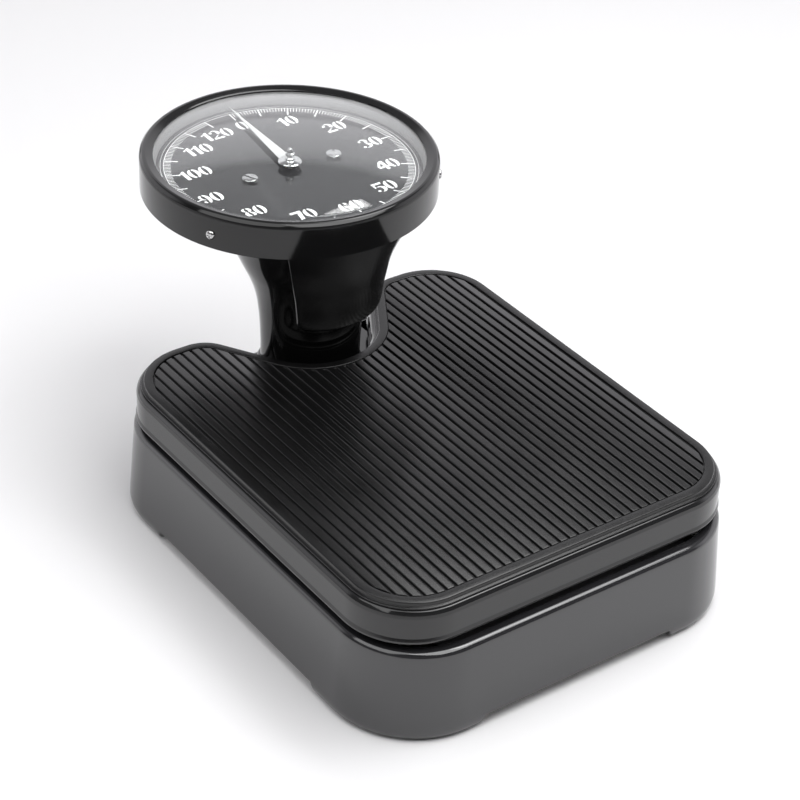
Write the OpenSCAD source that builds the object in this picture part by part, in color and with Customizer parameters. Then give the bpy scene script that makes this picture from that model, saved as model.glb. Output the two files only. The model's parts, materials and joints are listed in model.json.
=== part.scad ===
// Mechanical column bathroom scale: cast base on four corner feet, sprung
// platform with a ribbed mat, short column and a round dial head.
// Origin on the floor under the middle of the overall box, +Y from heels to
// column, +X to the user's right, +Z up. All sizes in millimetres. The pieces
// are drawn round the centre of the base, and place() shifts them.

/* [Base] */
// Width of the base casting at its lower edge
base_w = 300; // [296:1:306]
// Depth of the base casting at its lower edge
base_d = 355.4; // [350:0.2:362]
// Height of the ledge on top of the base wall
base_h = 67.5; // [66:0.5:68]
// Height of the hand gap between the corner feet
foot_gap = 8.3; // [7:0.1:8.5]
// Half length of the hand gap along the heel and front walls
gap_half_x = 77; // [60:1:84]
// Half length of the hand gap along the side walls
gap_half_y = 93; // [70:1:110]

/* [Platform] */
// Height of the tread surface above the floor
tread_z = 101.1; // [100.6:0.1:103]
// Pitch of the mat ribs
rib_pitch = 7.3; // [6.5:0.1:9]
// Width of each groove between ribs
groove_w = 2.0; // [1.2:0.1:3]
// Radius of the notch around the column, at the mat edge
notch_r = 50; // [49:0.5:51]
// Travel of the platform at full load
platform_travel = 3.6; // [2:0.1:3.6]

/* [Column and head] */
// Distance of the column axis in front of the base centre
column_y = 135; // [134.5:0.1:135.5]
// Distance of the dial centre in front of the base centre
dial_y = 164.4; // [164:0.1:165]
// Outer radius of the bezel
bezel_r = 102.6; // [102:0.1:104]
// Rise of the domed glass above its rim
dome_rise = 10; // [9.5:0.5:14]
// Radius of the printed scale circle
scale_r = 86; // [78:0.5:87]

/* [Movement] */
// Teeth on the pointer pinion
pinion_teeth = 14; // [14:1:14]
// Module of rack and pinion
gear_m = 0.3; // [0.3:0.1:0.3]
// Length of the pointer from the arbor to its tip
pointer_len = 90; // [60:0.5:90]
// Height of the lever pivots above the floor
lever_z = 55; // [54:0.5:55.5]

/* [Hidden] */
$fn = 64;
e = 0.01;
// shift that puts the origin under the middle of the overall depth
place_y = -(dial_y + bezel_r + 2 - base_d / 2) / 2;
module place() { translate([0, place_y, 0]) children(); }

// ---- shared plan geometry -------------------------------------------------
base_rc = 62;                       // corner radius of the base at its lower edge
cx = base_w / 2 - base_rc;          // corner centres of the base
cy = base_d / 2 - base_rc;
draft = 0.075;                      // the wall leans in by this much per mm of height
wall_t = 3;
shoulder = 4.5;
function u_out(z) = base_rc - draft * (z - foot_gap);

mat_w = 138.8; mat_rear = -161.3; mat_front = 160;
mat_rr = 43.5; mat_ro = 43; mat_ri = 24; lobe_x = 86;
notch_y = 138;
pan_off = 5.2;                      // the pan stands this much outside the mat edge
pan_top = tread_z - 4.1;
pan_low = 73;
na = atan2(mat_front - mat_ri - notch_y, lobe_x);
nn = na - acos((notch_r + mat_ri) / norm([lobe_x, mat_front - mat_ri - notch_y]));
function arc(c, r, a0, a1, n) = [for (i = [0:n]) let (a = a0 + (a1 - a0) * i / n) [c[0] + r * cos(a), c[1] + r * sin(a)]];
// outline of mat and pan, moved outward by d
function deck_outline(d) = concat(
  arc([mat_w - mat_rr, mat_rear + mat_rr], mat_rr + d, -90, 0, 14),
  arc([mat_w - mat_ro, mat_front - mat_ro], mat_ro + d, 0, 90, 14),
  arc([lobe_x, mat_front - mat_ri], mat_ri + d, 92, 180 + nn, 9),
  arc([0, notch_y], notch_r - d, nn, -180 - nn, 24),
  arc([-lobe_x, mat_front - mat_ri], mat_ri + d, -nn, 88, 9),
  arc([mat_ro - mat_w, mat_front - mat_ro], mat_ro + d, 90, 180, 14),
  arc([mat_rr - mat_w, mat_rear + mat_rr], mat_rr + d, 180, 270, 14));
module deck(d, z0, z1) { translate([0, 0, z0]) linear_extrude(z1 - z0) polygon(deck_outline(d)); }

// a closed profile [u, z] carried round the base rectangle
module base_ring(p) {
  for (q = [[1, 1, 0], [-1, 1, 90], [-1, -1, 180], [1, -1, 270]])
    translate([q[0] * cx, q[1] * cy, 0]) rotate([0, 0, q[2]]) rotate_extrude(angle = 90, $fn = 72) polygon(p);
  for (s = [0, 1]) {
    rotate([0, 0, 180 * s]) translate([0, cy, 0]) translate([-cx, 0, 0]) rotate([90, 0, 90]) linear_extrude(2 * cx) polygon(p);
    rotate([0, 0, 180 * s]) translate([cx, cy, 0]) rotate([90, 0, 0]) linear_extrude(2 * cy) polygon(p);
  }
}
module base_slab(u, z0, z1) {
  translate([0, 0, z0]) linear_extrude(z1 - z0) polygon(concat(
    arc([cx, cy], u, 0, 90, 18), arc([-cx, cy], u, 90, 180, 18),
    arc([-cx, -cy], u, 180, 270, 18), arc([cx, -cy], u, 270, 360, 18)));
}
module rod(r, h) { cylinder(r = r, h = h); }
module xrod(r, x0, x1, y, z) { translate([x0, y, z]) rotate([0, 90, 0]) cylinder(r = r, h = x1 - x0); }
module yrod(r, y0, y1, x, z) { translate([x, y0, z]) rotate([-90, 0, 0]) cylinder(r = r, h = y1 - y0); }
module box(x0, x1, y0, y1, z0, z1) { translate([x0, y0, z0]) cube([x1 - x0, y1 - y0, z1 - z0]); }
// a slot along Y through a plate that lies across X
module xslot(x0, x1, y, z, r, half) { xrod(r, x0, x1, y - half, z); xrod(r, x0, x1, y + half, z); box(x0, x1, y - half, y + half, z - r, z + r); }
function inv(a) = tan(a) * 180 / PI - a;
module mirror_x() { children(); mirror([1, 0, 0]) children(); }

// ---- levers ----------------------------------------------------------------
ful_y = 150;                        // fulcrum lines of both levers, front and rear
load_arm = 40;                      // fulcrum to load pin
load_y = ful_y - load_arm;
load_x = 96;
yoke_y = 78;                        // the springs act here
rod_y = column_y;
lug = [[139, 75], [139, -75], [-139, 75], [-139, -75], [60, 166.5], [-60, 166.5], [60, -166.5], [-60, -166.5]];
stay = [[107, 150], [-107, 150], [107, -150], [-107, -150], [41, 78], [53, 78], [-41, 78], [-53, 78]];
pad_a = [22, 45, 68];               // angles of the rubber pads on each corner foot
knob_x = 60; knob_z = 38;

// ---- head heights ------------------------------------------------------------
case_z = 199;
plate_z = 213.5;                    // upper face of the dial plate
rim_z = 222.3;                      // glass rim, lower face
glass_t = 2.7;
top_z = 227;
crank_y = 178; crank_z = 187.7;
rack_z = 209;
screw_z = 211;
pitch_r = gear_m * pinion_teeth / 2;
tooth = PI * gear_m;
screw_a = [86.5, 206.5, 326.5];
zero_a = 4.9;                       // the pointer rests this far clockwise from +Y

// outer profile of the column body, [radius, height]
col_prof = [[35.2, 76], [35.2, 90], [35.6, 100], [36.2, 110], [37.2, 120], [38.8, 130], [41.5, 140], [45.5, 150],
            [49.3, 158], [52.9, 166], [55.5, 172], [58.1, 178], [62.3, 187], [68, 198.6]];
// outer profile of the hood, [radius, height]
hood_prof = [[43.9, 123.2], [45.8, 123.7], [47, 125.2], [48.1, 128], [49.4, 132], [50.4, 138], [51.3, 146],
             [52.6, 154], [54.2, 163], [56.6, 171], [59.3, 178], [63.5, 187], [69.2, 198.6]];

// ---- base ----------------------------------------------------------------------
module base_housing() color([0.09, 0.09, 0.10]) place() {
  ztan = base_h - shoulder;
  uo = u_out(ztan);
  prof = concat(
    [[u_out(foot_gap) - wall_t, foot_gap], [u_out(foot_gap), foot_gap]],
    [for (i = [0:8]) let (a = i * 90 / 8) [uo - shoulder + shoulder * cos(a), ztan + shoulder * sin(a)]],
    [[49.5, base_h], [49.5, base_h - 3], [uo - shoulder, base_h - 3], [u_out(base_h - 5) - wall_t, base_h - 5.5]]);
  foot = [[49, 0.9], [58.6, 0.9], [59.6, 1.9], [61.9, foot_gap + 0.6], [49, foot_gap + 0.6]];
  difference() {
    union() {
      base_ring(prof);
      // corner feet: the bottom edge runs down to the floor at the corners only
      difference() {
        base_ring(foot);
        box(-gap_half_x, gap_half_x, -200, 200, -1, foot_gap + 2);
        box(-200, 200, -gap_half_y, gap_half_y, -1, foot_gap + 2);
      }
      // lugs that take the floor plate screws
      for (p = lug) if (abs(p[0]) > 100) box(p[0] > 0 ? 132 : -147.6, p[0] > 0 ? 147.6 : -132, p[1] - 7, p[1] + 7, 11, 22);
        else box(p[0] - 7, p[0] + 7, p[1] > 0 ? 159.5 : -175.2, p[1] > 0 ? 175.2 : -159.5, 11, 22);
      // deck and turret that carry the column
      box(-64, 64, 89, 171.6, 61.5, 65.5);
      translate([0, column_y, 0]) rotate_extrude($fn = 96)
        polygon([[27, 61.5], [38, 61.5], [38, 73], [37.2, 75], [35.8, 76], [27, 76]]);
      for (x = [-50, 50]) for (y = [[100, 141.5], [158.5, 171.6]]) box(x - 2, x + 2, y[0], y[1], 54, 61.6);
    }
    translate([0, column_y, 50]) cylinder(r = 26.9, h = 40);
    for (a = [0, 90, 180]) translate([31 * cos(a), column_y + 31 * sin(a), 50]) cylinder(r = 2.6, h = 40);
    for (p = lug) translate([p[0], p[1], 5]) cylinder(r = 2, h = 15);
    for (q = [[1, 1, 0], [-1, 1, 90], [-1, -1, 180], [1, -1, 270]]) for (a = pad_a)
      translate([q[0] * cx, q[1] * cy, -1]) rotate([0, 0, q[2] + a]) translate([54, 0, 0]) cylinder(r = 4.1, h = 4.2);
    yrod(3.05, 160, 180, knob_x, knob_z);
  }
}
module base_plate() color([0.45, 0.46, 0.48]) place() {
  difference() {
    base_slab(58.2, 9.4, 11);
    for (p = lug) translate([p[0], p[1], 5]) cylinder(r = 2.3, h = 10);
    for (p = stay) translate([p[0], p[1], 5]) cylinder(r = 1.7, h = 10);
  }
  // shallow stiffening beads
  for (x = [-60, 0, 60]) box(x - 4, x + 4, -110, 50, 10.9, 12.6);
}
module base_plate_screws() color([0.6, 0.6, 0.62]) place() {
  for (p = lug) translate([p[0], p[1], 0]) difference() {
    union() { translate([0, 0, 7.2]) cylinder(r = 3.8, h = 2.2); translate([0, 0, 9.3]) cylinder(r = 1.95, h = 9.7); }
    translate([-4, -0.5, 7]) cube([8, 1, 1.1]);
  }
}
module rubber_feet() color([0.05, 0.05, 0.05]) place() {
  for (q = [[1, 1, 0], [-1, 1, 90], [-1, -1, 180], [1, -1, 270]]) for (a = pad_a)
    translate([q[0] * cx, q[1] * cy, 0]) rotate([0, 0, q[2] + a]) translate([54, 0, 0]) cylinder(r = 4, h = 3.2);
}
module fulcrum_brackets() color([0.55, 0.55, 0.58]) place() {
  for (sx = [-1, 1]) for (sy = [-1, 1]) difference() {
    union() {
      box(sx * 107 - 3, sx * 107 + 3, sy * ful_y - 9, sy * ful_y + 9, 14, lever_z + 8);
      box(sx * 107 - 9, sx * 107 + 9, sy * ful_y - 9, sy * ful_y + 9, 11, 14);
    }
    xrod(2.55, sx * 107 - 5, sx * 107 + 5, sy * ful_y, lever_z);
    translate([sx * 107, sy * ful_y, 10]) cylinder(r = 1.6, h = 10);
  }
}
module bracket_screws() color([0.6, 0.6, 0.62]) place() {
  for (p = stay) translate([p[0], p[1], 0]) difference() {
    union() { translate([0, 0, 7.5]) cylinder(r = 3.1, h = 1.9); translate([0, 0, 9.3]) cylinder(r = 1.55, h = abs(p[0]) > 100 ? 9.7 : 5.7); }
    translate([-4, -0.4, 7]) cube([8, 0.8, 1.2]);
  }
}
module spring_tower() color([0.5, 0.5, 0.53]) place() {
  for (x = [-47, 47]) difference() {
    union() { box(x - 3, x + 3, 72, 84, 11, 88); box(x - 9, x + 9, 70, 86, 11, 13.4); }
    for (d = [-6, 6]) translate([x + d, yoke_y, 5]) cylinder(r = 1.6, h = 15);
  }
  box(-50, 50, 72, 84, 84.4, 88);
  for (x = [-32, 32]) translate([x, yoke_y, 77.5]) cylinder(r = 5.1, h = 7);
  for (x = [-32, 32]) translate([x, yoke_y, 87.9]) cylinder(r = 5, h = 2.6, $fn = 6);
}
spring_r = 6.4; wire_r = 1.1; spring_n = 8;
module spring_coil(z0, z1) {
  ns = 14; np = 7; tot = spring_n * ns;
  pts = [for (i = [0:tot]) let (a = 360 * i / ns, z = z0 + (z1 - z0) * i / tot)
    for (j = [0:np - 1]) let (b = 360 * j / np, rr = spring_r + wire_r * cos(b)) [rr * cos(a), rr * sin(a), z + wire_r * sin(b)]];
  faces = concat([[for (j = [0:np - 1]) j]], [[for (j = [np - 1:-1:0]) tot * np + j]],
    [for (i = [0:tot - 1]) for (j = [0:np - 1]) [i * np + j, (i + 1) * np + j, (i + 1) * np + (j + 1) % np]],
    [for (i = [0:tot - 1]) for (j = [0:np - 1]) [i * np + j, (i + 1) * np + (j + 1) % np, i * np + (j + 1) % np]]);
  polyhedron(points = pts, faces = faces, convexity = 8);
}
module main_springs() color([0.62, 0.62, 0.65]) place() {
  for (x = [-32, 32]) translate([x, yoke_y, 0]) spring_coil(47.6, 83.0);
}
module spring_yoke() color([0.7, 0.6, 0.3]) place() {
  difference() {
    union() {
      for (s = [-1, 1]) box(s * 6.75 - 1.25, s * 6.75 + 1.25, yoke_y - 6, yoke_y + 6, 42, 61);
      box(-38, 38, yoke_y - 5, yoke_y + 5, 42, 46.2);
      for (x = [-32, 32]) translate([x, yoke_y, 46]) cylinder(r = 5.1, h = 7);
      for (x = [-32, 32]) translate([x, yoke_y, 39.5]) cylinder(r = 5, h = 2.6, $fn = 6);
    }
    xslot(-10, 10, yoke_y - 0.45, lever_z, 2.8, 1.0);
  }
}
module long_lever() color([0.35, 0.45, 0.6]) place() {
  difference() {
    union() {
      xrod(6, -100, 100, -ful_y, lever_z);
      for (s = [-1, 1]) {
        xrod(2.5, s > 0 ? 99 : -114, s > 0 ? 114 : -99, -ful_y, lever_z);
        box(s * 88 - 2.5, s * 88 + 2.5, -ful_y, -load_y + 6, lever_z - 6, lever_z + 6);
        xrod(3, s > 0 ? 85.5 : -101.5, s > 0 ? 101.5 : -85.5, -load_y, lever_z);
      }
      box(-3.5, 3.5, -ful_y, rod_y + 6, lever_z - 5, lever_z + 5);
      box(-3.5, 3.5, -ful_y, -40, lever_z - 9, lever_z - 5);
      xrod(2.5, -13, 13, 0, lever_z);
      xrod(2.5, -12, 12, yoke_y, lever_z);
      xrod(2, -9, 9, rod_y, lever_z);
    }
    for (y = [-120, -95, -70]) xrod(3, -5, 5, y, lever_z - 1);
  }
}
link_dz = 13;                       // the short lever hangs this much below the long one
module short_lever() color([0.6, 0.4, 0.35]) place() {
  xrod(6, -100, 100, ful_y, lever_z);
  for (s = [-1, 1]) {
    xrod(2.5, s > 0 ? 99 : -114, s > 0 ? 114 : -99, ful_y, lever_z);
    box(s * 88 - 2.5, s * 88 + 2.5, load_y - 6, ful_y, lever_z - 6, lever_z + 6);
    xrod(3, s > 0 ? 85.5 : -101.5, s > 0 ? 101.5 : -85.5, load_y, lever_z);
    box(s * 18 - 2.5, s * 18 + 2.5, -6, ful_y, lever_z - 5, lever_z + 5);
    box(s * 18 - 2.5, s * 18 + 2.5, -6, 6, lever_z - link_dz - 5, lever_z - 4);
  }
  xrod(2.5, -19, 19, 0, lever_z - link_dz);
}
module lever_shackle() color([0.7, 0.65, 0.4]) place() {
  difference() {
    union() {
      for (s = [-1, 1]) box(s * 9 - 1.25, s * 9 + 1.25, -9, 9, lever_z - link_dz - 9, lever_z + 7);
      box(-10.25, 10.25, -9, 9, lever_z - link_dz - 9, lever_z - link_dz - 6.5);
    }
    xslot(-15, 15, -0.3, lever_z, 2.8, 0.9);
    xslot(-15, 15, 0.9, lever_z - link_dz, 2.8, 1.6);
  }
}

// ---- platform ------------------------------------------------------------------
module platform_pan() color([0.08, 0.08, 0.09]) place() {
  difference() {
    union() {
      deck(pan_off + 0.5, pan_low, pan_low + 1.8);
      deck(pan_off, pan_low, pan_top - 4.5);
      deck(pan_off - 0.6, pan_low, pan_top - 2.6);
      deck(pan_off - 1.9, pan_low, pan_top - 1.2);
      deck(pan_off - 3.8, pan_low, pan_top);
    }
    deck(pan_off - 1.6, pan_low - 1, pan_top - 4.8);
    deck(pan_off - 3.6, pan_low - 1, pan_top - 1.6);
  }
}
module platform_frame() color([0.4, 0.4, 0.42]) place() {
  zt = pan_top - 1.6;
  mirror_x() {
    box(load_x - 5, load_x + 5, -130, 130, zt - 10, zt);
    for (y = [-load_y, load_y]) difference() {
      box(load_x - 4.5, load_x + 4.5, y - 7, y + 7, 50, zt - 9.9);
      box(load_x - 6, load_x + 6, y - 3.5, y + 3.5, 45, lever_z);
      xrod(3.5, load_x - 6, load_x + 6, y, lever_z);
    }
  }
  for (y = [-load_y, 60]) box(-load_x, load_x, y - 6, y + 6, zt - 10, zt);
}
module platform_mat() color([0.14, 0.14, 0.15]) place() {
  deck(2, pan_top, pan_top + 1.2);
  deck(0, pan_top, tread_z - 1.4);
  translate([0, 0, tread_z - 1.41]) linear_extrude(1.41) difference() {
    polygon(deck_outline(0));
    polygon(deck_outline(-6.2));
  }
  translate([0, 0, tread_z - 1.41]) linear_extrude(1.41) intersection() {
    polygon(deck_outline(-6.2));
    for (i = [-18:17]) translate([i * rib_pitch + groove_w / 2, -200]) square([rib_pitch - groove_w, 400]);
  }
}

// ---- zero setting ----------------------------------------------------------------
module zero_knob() color([0.12, 0.12, 0.12]) place() {
  difference() {
    union() {
      yrod(3, 88, 179, knob_x, knob_z);
      yrod(12, 178, 188, knob_x, knob_z);
      yrod(10.5, 187.9, 189.4, knob_x, knob_z);
      yrod(7, 176, 178.1, knob_x, knob_z);
    }
    for (i = [0:23]) translate([knob_x + 12.2 * cos(15 * i), 183, knob_z + 12.2 * sin(15 * i)]) rotate([90, 0, 0]) cylinder(r = 0.8, h = 12, center = true);
  }
}
module zero_carriage() color([0.12, 0.12, 0.12]) place() {
  difference() {
    union() {
      box(knob_x - 8, knob_x + 8, 96, 112, 13.2, 46);
      box(knob_x - 8, knob_x - 3, 92.5, 96.1, 14, 30);
    }
    yrod(3.3, 90, 120, knob_x, knob_z);
  }
}

// ---- column ------------------------------------------------------------------------
module column() color([0.07, 0.07, 0.08]) place() {
  inner = [for (i = [len(col_prof) - 1:-1:0]) [col_prof[i][0] - 3, col_prof[i][1]]];
  difference() {
    union() {
      translate([0, column_y, 0]) rotate_extrude($fn = 128) polygon(concat(col_prof, inner));
      translate([0, column_y, 76]) difference() { cylinder(r = 34, h = 5); translate([0, 0, -1]) cylinder(r = 27, h = 8); }
      for (a = [0, 90, 180]) intersection() {
        translate([0, column_y, 76]) cylinder(r = 33.5, h = 16);
        translate([31 * cos(a), column_y + 31 * sin(a), 76]) cylinder(r = 5, h = 16);
      }
      // bosses at the head joint
      for (a = [40, 140, 270]) translate([57 * cos(a), column_y + 57 * sin(a), 186]) intersection() {
        cylinder(r = 5, h = 12.6);
        translate([-57 * cos(a), -57 * sin(a), 0]) cylinder(r1 = 59.2, r2 = 66.4, h = 12.6);
      }
    }
    for (a = [0, 90, 180]) translate([31 * cos(a), column_y + 31 * sin(a), 70]) cylinder(r = 2.5, h = 20);
    for (a = [40, 140, 270]) translate([57 * cos(a), column_y + 57 * sin(a), 188]) cylinder(r = 2, h = 12);
    // service opening behind the hood
    box(-14, 14, 60, column_y - 20, 132, 166);
    for (s = [-1, 1]) translate([s * 20, column_y, 132]) rotate([90, 0, 0]) cylinder(r = 1.6, h = 60);
  }
}
module column_hood() color([0.1, 0.1, 0.11]) place() {
  inner = [for (i = [len(col_prof) - 1:-1:0]) if (col_prof[i][1] > 124) [col_prof[i][0] + 0.3, col_prof[i][1]]];
  difference() {
    translate([0, column_y, 0]) rotate([0, 0, 221.5]) rotate_extrude(angle = 97, $fn = 128)
      polygon(concat(hood_prof, inner, [[38.1, 123.2]]));
    // hollow behind the front, open below, with two screw bosses left standing
    difference() {
      translate([0, column_y, 0]) rotate([0, 0, 226]) rotate_extrude(angle = 88, $fn = 128)
        polygon([[36, 122], [43.4, 122], [45, 125.6], [47.3, 132], [48.4, 138], [49.3, 146], [50.1, 151], [36, 151]]);
      for (s = [-1, 1]) translate([s * 20, column_y, 132]) rotate([90, 0, 0]) cylinder(r = 4.5, h = 60);
    }
    for (s = [-1, 1]) translate([s * 20, column_y, 132]) rotate([90, 0, 0]) cylinder(r = 1.6, h = 42);
  }
}
module hood_screws() color([0.7, 0.7, 0.7]) place() {
  for (s = [-1, 1]) translate([s * 20, column_y, 132]) rotate([90, 0, 0]) {
    translate([0, 0, 27]) cylinder(r = 1.5, h = 14);
    translate([0, 0, 24.5]) cylinder(r = 3, h = 2.6);
  }
}
module column_bolts() color([0.6, 0.6, 0.6]) place() {
  for (a = [0, 90, 180]) translate([31 * cos(a), column_y + 31 * sin(a), 0]) {
    translate([0, 0, 57.6]) cylinder(r = 4, h = 3.9, $fn = 6);
    translate([0, 0, 61.4]) cylinder(r = 2.45, h = 26);
  }
}
module pull_rod() color([0.66, 0.66, 0.7]) place() {
  difference() {
    union() {
      for (s = [-1, 1]) box(s * 6 - 1.2, s * 6 + 1.2, rod_y - 7, rod_y + 7, lever_z - 6, lever_z + 11.5);
      box(-7.2, 7.2, rod_y - 7, rod_y + 7, lever_z + 8.5, lever_z + 11.5);
      translate([0, rod_y, lever_z + 11]) cylinder(r = 1.75, h = 132);
      box(-2, 2, rod_y - 2.2, rod_y + 3.4, 196.5, 204);
      xrod(1.2, -2.5, 7, rod_y + 1, crank_z + 12.82);
    }
    xslot(-9, 9, rod_y - 0.55, lever_z, 2.3, 1.1);
  }
}

// ---- dial head ------------------------------------------------------------------------
module dial_case() color([0.1, 0.1, 0.1]) place() {
  difference() {
    union() {
      translate([0, dial_y, case_z]) cylinder(r = 97.8, h = 2, $fn = 128);
      translate([0, dial_y, 0]) rotate_extrude($fn = 128) polygon([[95.8, case_z], [97.8, case_z], [97.8, 221.4], [95.8, 221.4]]);
    }
    translate([0, dial_y - 16, case_z - 1]) cylinder(r = 44, h = 5);
    for (a = [40, 140, 270]) translate([57 * cos(a), column_y + 57 * sin(a), case_z - 1]) cylinder(r = 2.1, h = 5);
    for (a = screw_a) translate([0, dial_y, screw_z]) rotate([0, 90, a]) cylinder(r = 1.6, h = 110);
  }
}
module case_screws() color([0.6, 0.6, 0.6]) place() {
  for (a = [40, 140, 270]) translate([57 * cos(a), column_y + 57 * sin(a), 0]) {
    translate([0, 0, 190]) cylinder(r = 1.95, h = 11.2);
    translate([0, 0, 201]) cylinder(r = 3.6, h = 2.4);
  }
}
module bezel() color([0.06, 0.06, 0.07]) place() {
  prof = concat(
    [[98.9, case_z + 1.6], [bezel_r, case_z + 1.6]],
    [for (i = [0:6]) let (a = i * 75 / 6) [bezel_r - 4 + 4 * cos(a), top_z - 4.2 + 4 * sin(a)]],
    [[bezel_r - 4.1, top_z], [bezel_r - 5.4, top_z - 0.5], [93, top_z - 1.2], [93, rim_z + glass_t + 0.05], [98.9, rim_z + glass_t + 0.05]]);
  difference() {
    translate([0, dial_y, 0]) rotate_extrude($fn = 160) polygon(prof);
    for (a = screw_a) translate([0, dial_y, screw_z]) rotate([0, 90, a]) translate([0, 0, 90]) cylinder(r = 1.6, h = 20);
  }
}
module bezel_screws() color([0.85, 0.85, 0.85]) place() {
  for (a = screw_a) translate([0, dial_y, screw_z]) rotate([0, 90, a]) difference() {
    union() {
      translate([0, 0, 95.3]) cylinder(r = 1.5, h = bezel_r - 95.2);
      translate([0, 0, bezel_r]) cylinder(r = 3.3, h = 1.0);
      translate([0, 0, bezel_r + 0.9]) cylinder(r1 = 3.3, r2 = 1.9, h = 1.1);
    }
    translate([-4, -0.4, bezel_r + 1.2]) cube([8, 0.8, 2]);
  }
}
module gasket() color([0.1, 0.1, 0.1]) place() { translate([0, dial_y, 0]) rotate_extrude($fn = 96) polygon([[93.4, 221.4], [97.8, 221.4], [97.8, rim_z], [93.4, rim_z]]); }
module glass() color([0.8, 0.9, 0.88, 0.3]) place() {
  // spherical dome over a flat rim
  rr = 92.6;
  R = (rr * rr + dome_rise * dome_rise) / (2 * dome_rise);
  zc = rim_z + glass_t + dome_rise - R;
  am = asin(rr / R);
  outer = [for (i = [0:16]) let (a = am * i / 16) [R * sin(a), zc + R * cos(a)]];
  inner = [for (i = [16:-1:0]) let (a = am * i / 16) [(R - glass_t) * sin(a), zc + (R - glass_t) * cos(a)]];
  translate([0, dial_y, 0]) rotate_extrude($fn = 128)
    polygon(concat(outer, [[97.4, rim_z + glass_t], [97.4, rim_z]], inner));
}
module reflector_ring() color([0.92, 0.92, 0.92]) place() {
  translate([0, dial_y, 0]) rotate_extrude($fn = 128)
    polygon([[91, plate_z + 0.1], [95.4, plate_z + 0.1], [95.4, 221.2], [92.8, 221.2]]);
}
module dial_plate() color([0.13, 0.13, 0.14]) place() {
  difference() {
    translate([0, dial_y, plate_z - 1]) cylinder(r = 95.2, h = 1, $fn = 128);
    translate([0, dial_y, plate_z - 2]) cylinder(r = 3.5, h = 4);
    for (s = [-1, 1]) translate([s * 34, dial_y - 3, plate_z - 2]) cylinder(r = 2.2, h = 4);
  }
}
module dial_pillars() color([0.75, 0.62, 0.35]) place() {
  for (s = [-1, 1]) translate([s * 34, dial_y - 3, 0]) difference() {
    translate([0, 0, case_z + 4]) cylinder(r = 4.5, h = plate_z - 1 - case_z - 4);
    translate([0, 0, plate_z - 9]) cylinder(r = 2.0, h = 12);
  }
}
module dial_screws() color([0.85, 0.85, 0.85]) place() {
  for (s = [-1, 1]) translate([s * 34, dial_y - 3, 0]) difference() {
    union() {
      translate([0, 0, plate_z - 8]) cylinder(r = 1.95, h = 8.1);
      translate([0, 0, plate_z]) cylinder(r = 5.5, h = 1.8);
      translate([0, 0, plate_z + 1.7]) cylinder(r1 = 5.5, r2 = 4.7, h = 0.8);
    }
    rotate([0, 0, s > 0 ? 60 : 115]) translate([-6, -0.55, plate_z + 1.2]) cube([12, 1.1, 2]);
  }
}

// ---- movement -------------------------------------------------------------------------
module movement_frame() color([0.75, 0.62, 0.35]) place() {
  difference() {
    union() {
      difference() {
        box(-45, 45, dial_y - 24, dial_y + 32, case_z + 2, case_z + 4);
        box(-9.5, 11, dial_y + 5, dial_y + 26, case_z, case_z + 6);
        box(-9, 9, dial_y - 25, dial_y - 4, case_z, case_z + 6);
      }
      for (s = [-1, 1]) box(s * 14 - 1.2, s * 14 + 1.2, crank_y - 6, crank_y + 6, crank_z - 6, case_z + 2.1);
      for (s = [-1, 1]) translate([s * 18, dial_y - 5, case_z + 3.9]) cylinder(r = 2.5, h = 7.5);
      // guide that keeps the rack against the pinion
      box(6.2, 8, dial_y - 9, dial_y + 1, case_z + 3.9, 210.1);
      box(1.6, 8, dial_y - 9, dial_y + 1, case_z + 3.9, 207.7);
    }
    translate([0, dial_y, case_z]) cylinder(r = 1.04, h = 12);
    translate([0, dial_y, case_z + 4.2]) cylinder(r = 2.9, h = 12);
    xrod(2.05, -16, 16, crank_y, crank_z);
    for (s = [-1, 1]) translate([s * 18, dial_y - 5, 207]) cylinder(r = 1.0, h = 6);
    // corners cut clear of the case screws
    for (a = [40, 140]) translate([57 * cos(a), column_y + 57 * sin(a), case_z + 1]) cylinder(r = 4.2, h = 6);
  }
}
module movement_bridge() color([0.78, 0.66, 0.4]) place() {
  difference() {
    box(-23, 23, dial_y - 11, dial_y + 3.2, 210.4, 211.3);
    translate([0, dial_y, 208]) cylinder(r = 1.04, h = 8);
    for (s = [-1, 1]) translate([s * 18, dial_y - 5, 208]) cylinder(r = 1.0, h = 8);
  }
  for (s = [-1, 1]) translate([s * 18, dial_y - 5, 0]) {
    translate([0, 0, 207.5]) cylinder(r = 0.95, h = 3.9);
    translate([0, 0, 211.3]) cylinder(r = 2, h = 0.55);
  }
}
half_a = 17.09;                     // half of the crank's swing
module bell_crank() color([0.7, 0.58, 0.3]) place() {
  translate([0, crank_y, crank_z]) rotate([-half_a, 0, 0]) difference() {
    union() {
      xrod(4.6, -12, 12, 0, 0);
      box(2.9, 4.4, -45.5, 0, -2.6, 2.6);
      xrod(3.4, 2.9, 4.4, -42.9, 0);
      box(8, 9.5, -2.6, 2.6, 0, 21.7);
      xrod(2.65, 8, 9.5, 0, 21.75);
      box(-9, -7.5, -2.4, 2.4, -14, 0);
    }
    xrod(2.06, -20, 20, 0, 0);
    xslot(1, 6, -42.9, 0, 1.5, 1.15);
    translate([0, 0, 21.75]) rotate([90, 0, 0]) { xslot(7, 11, 0, 0, 1.35, 0.75); }
  }
}
module crank_arbor() color([0.7, 0.7, 0.72]) place() {
  xrod(2, -15.6, 15.6, crank_y, crank_z);
  for (s = [-1, 1]) xrod(3.2, s > 0 ? 15.25 : -16.6, s > 0 ? 16.6 : -15.25, crank_y, crank_z);
}
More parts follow.
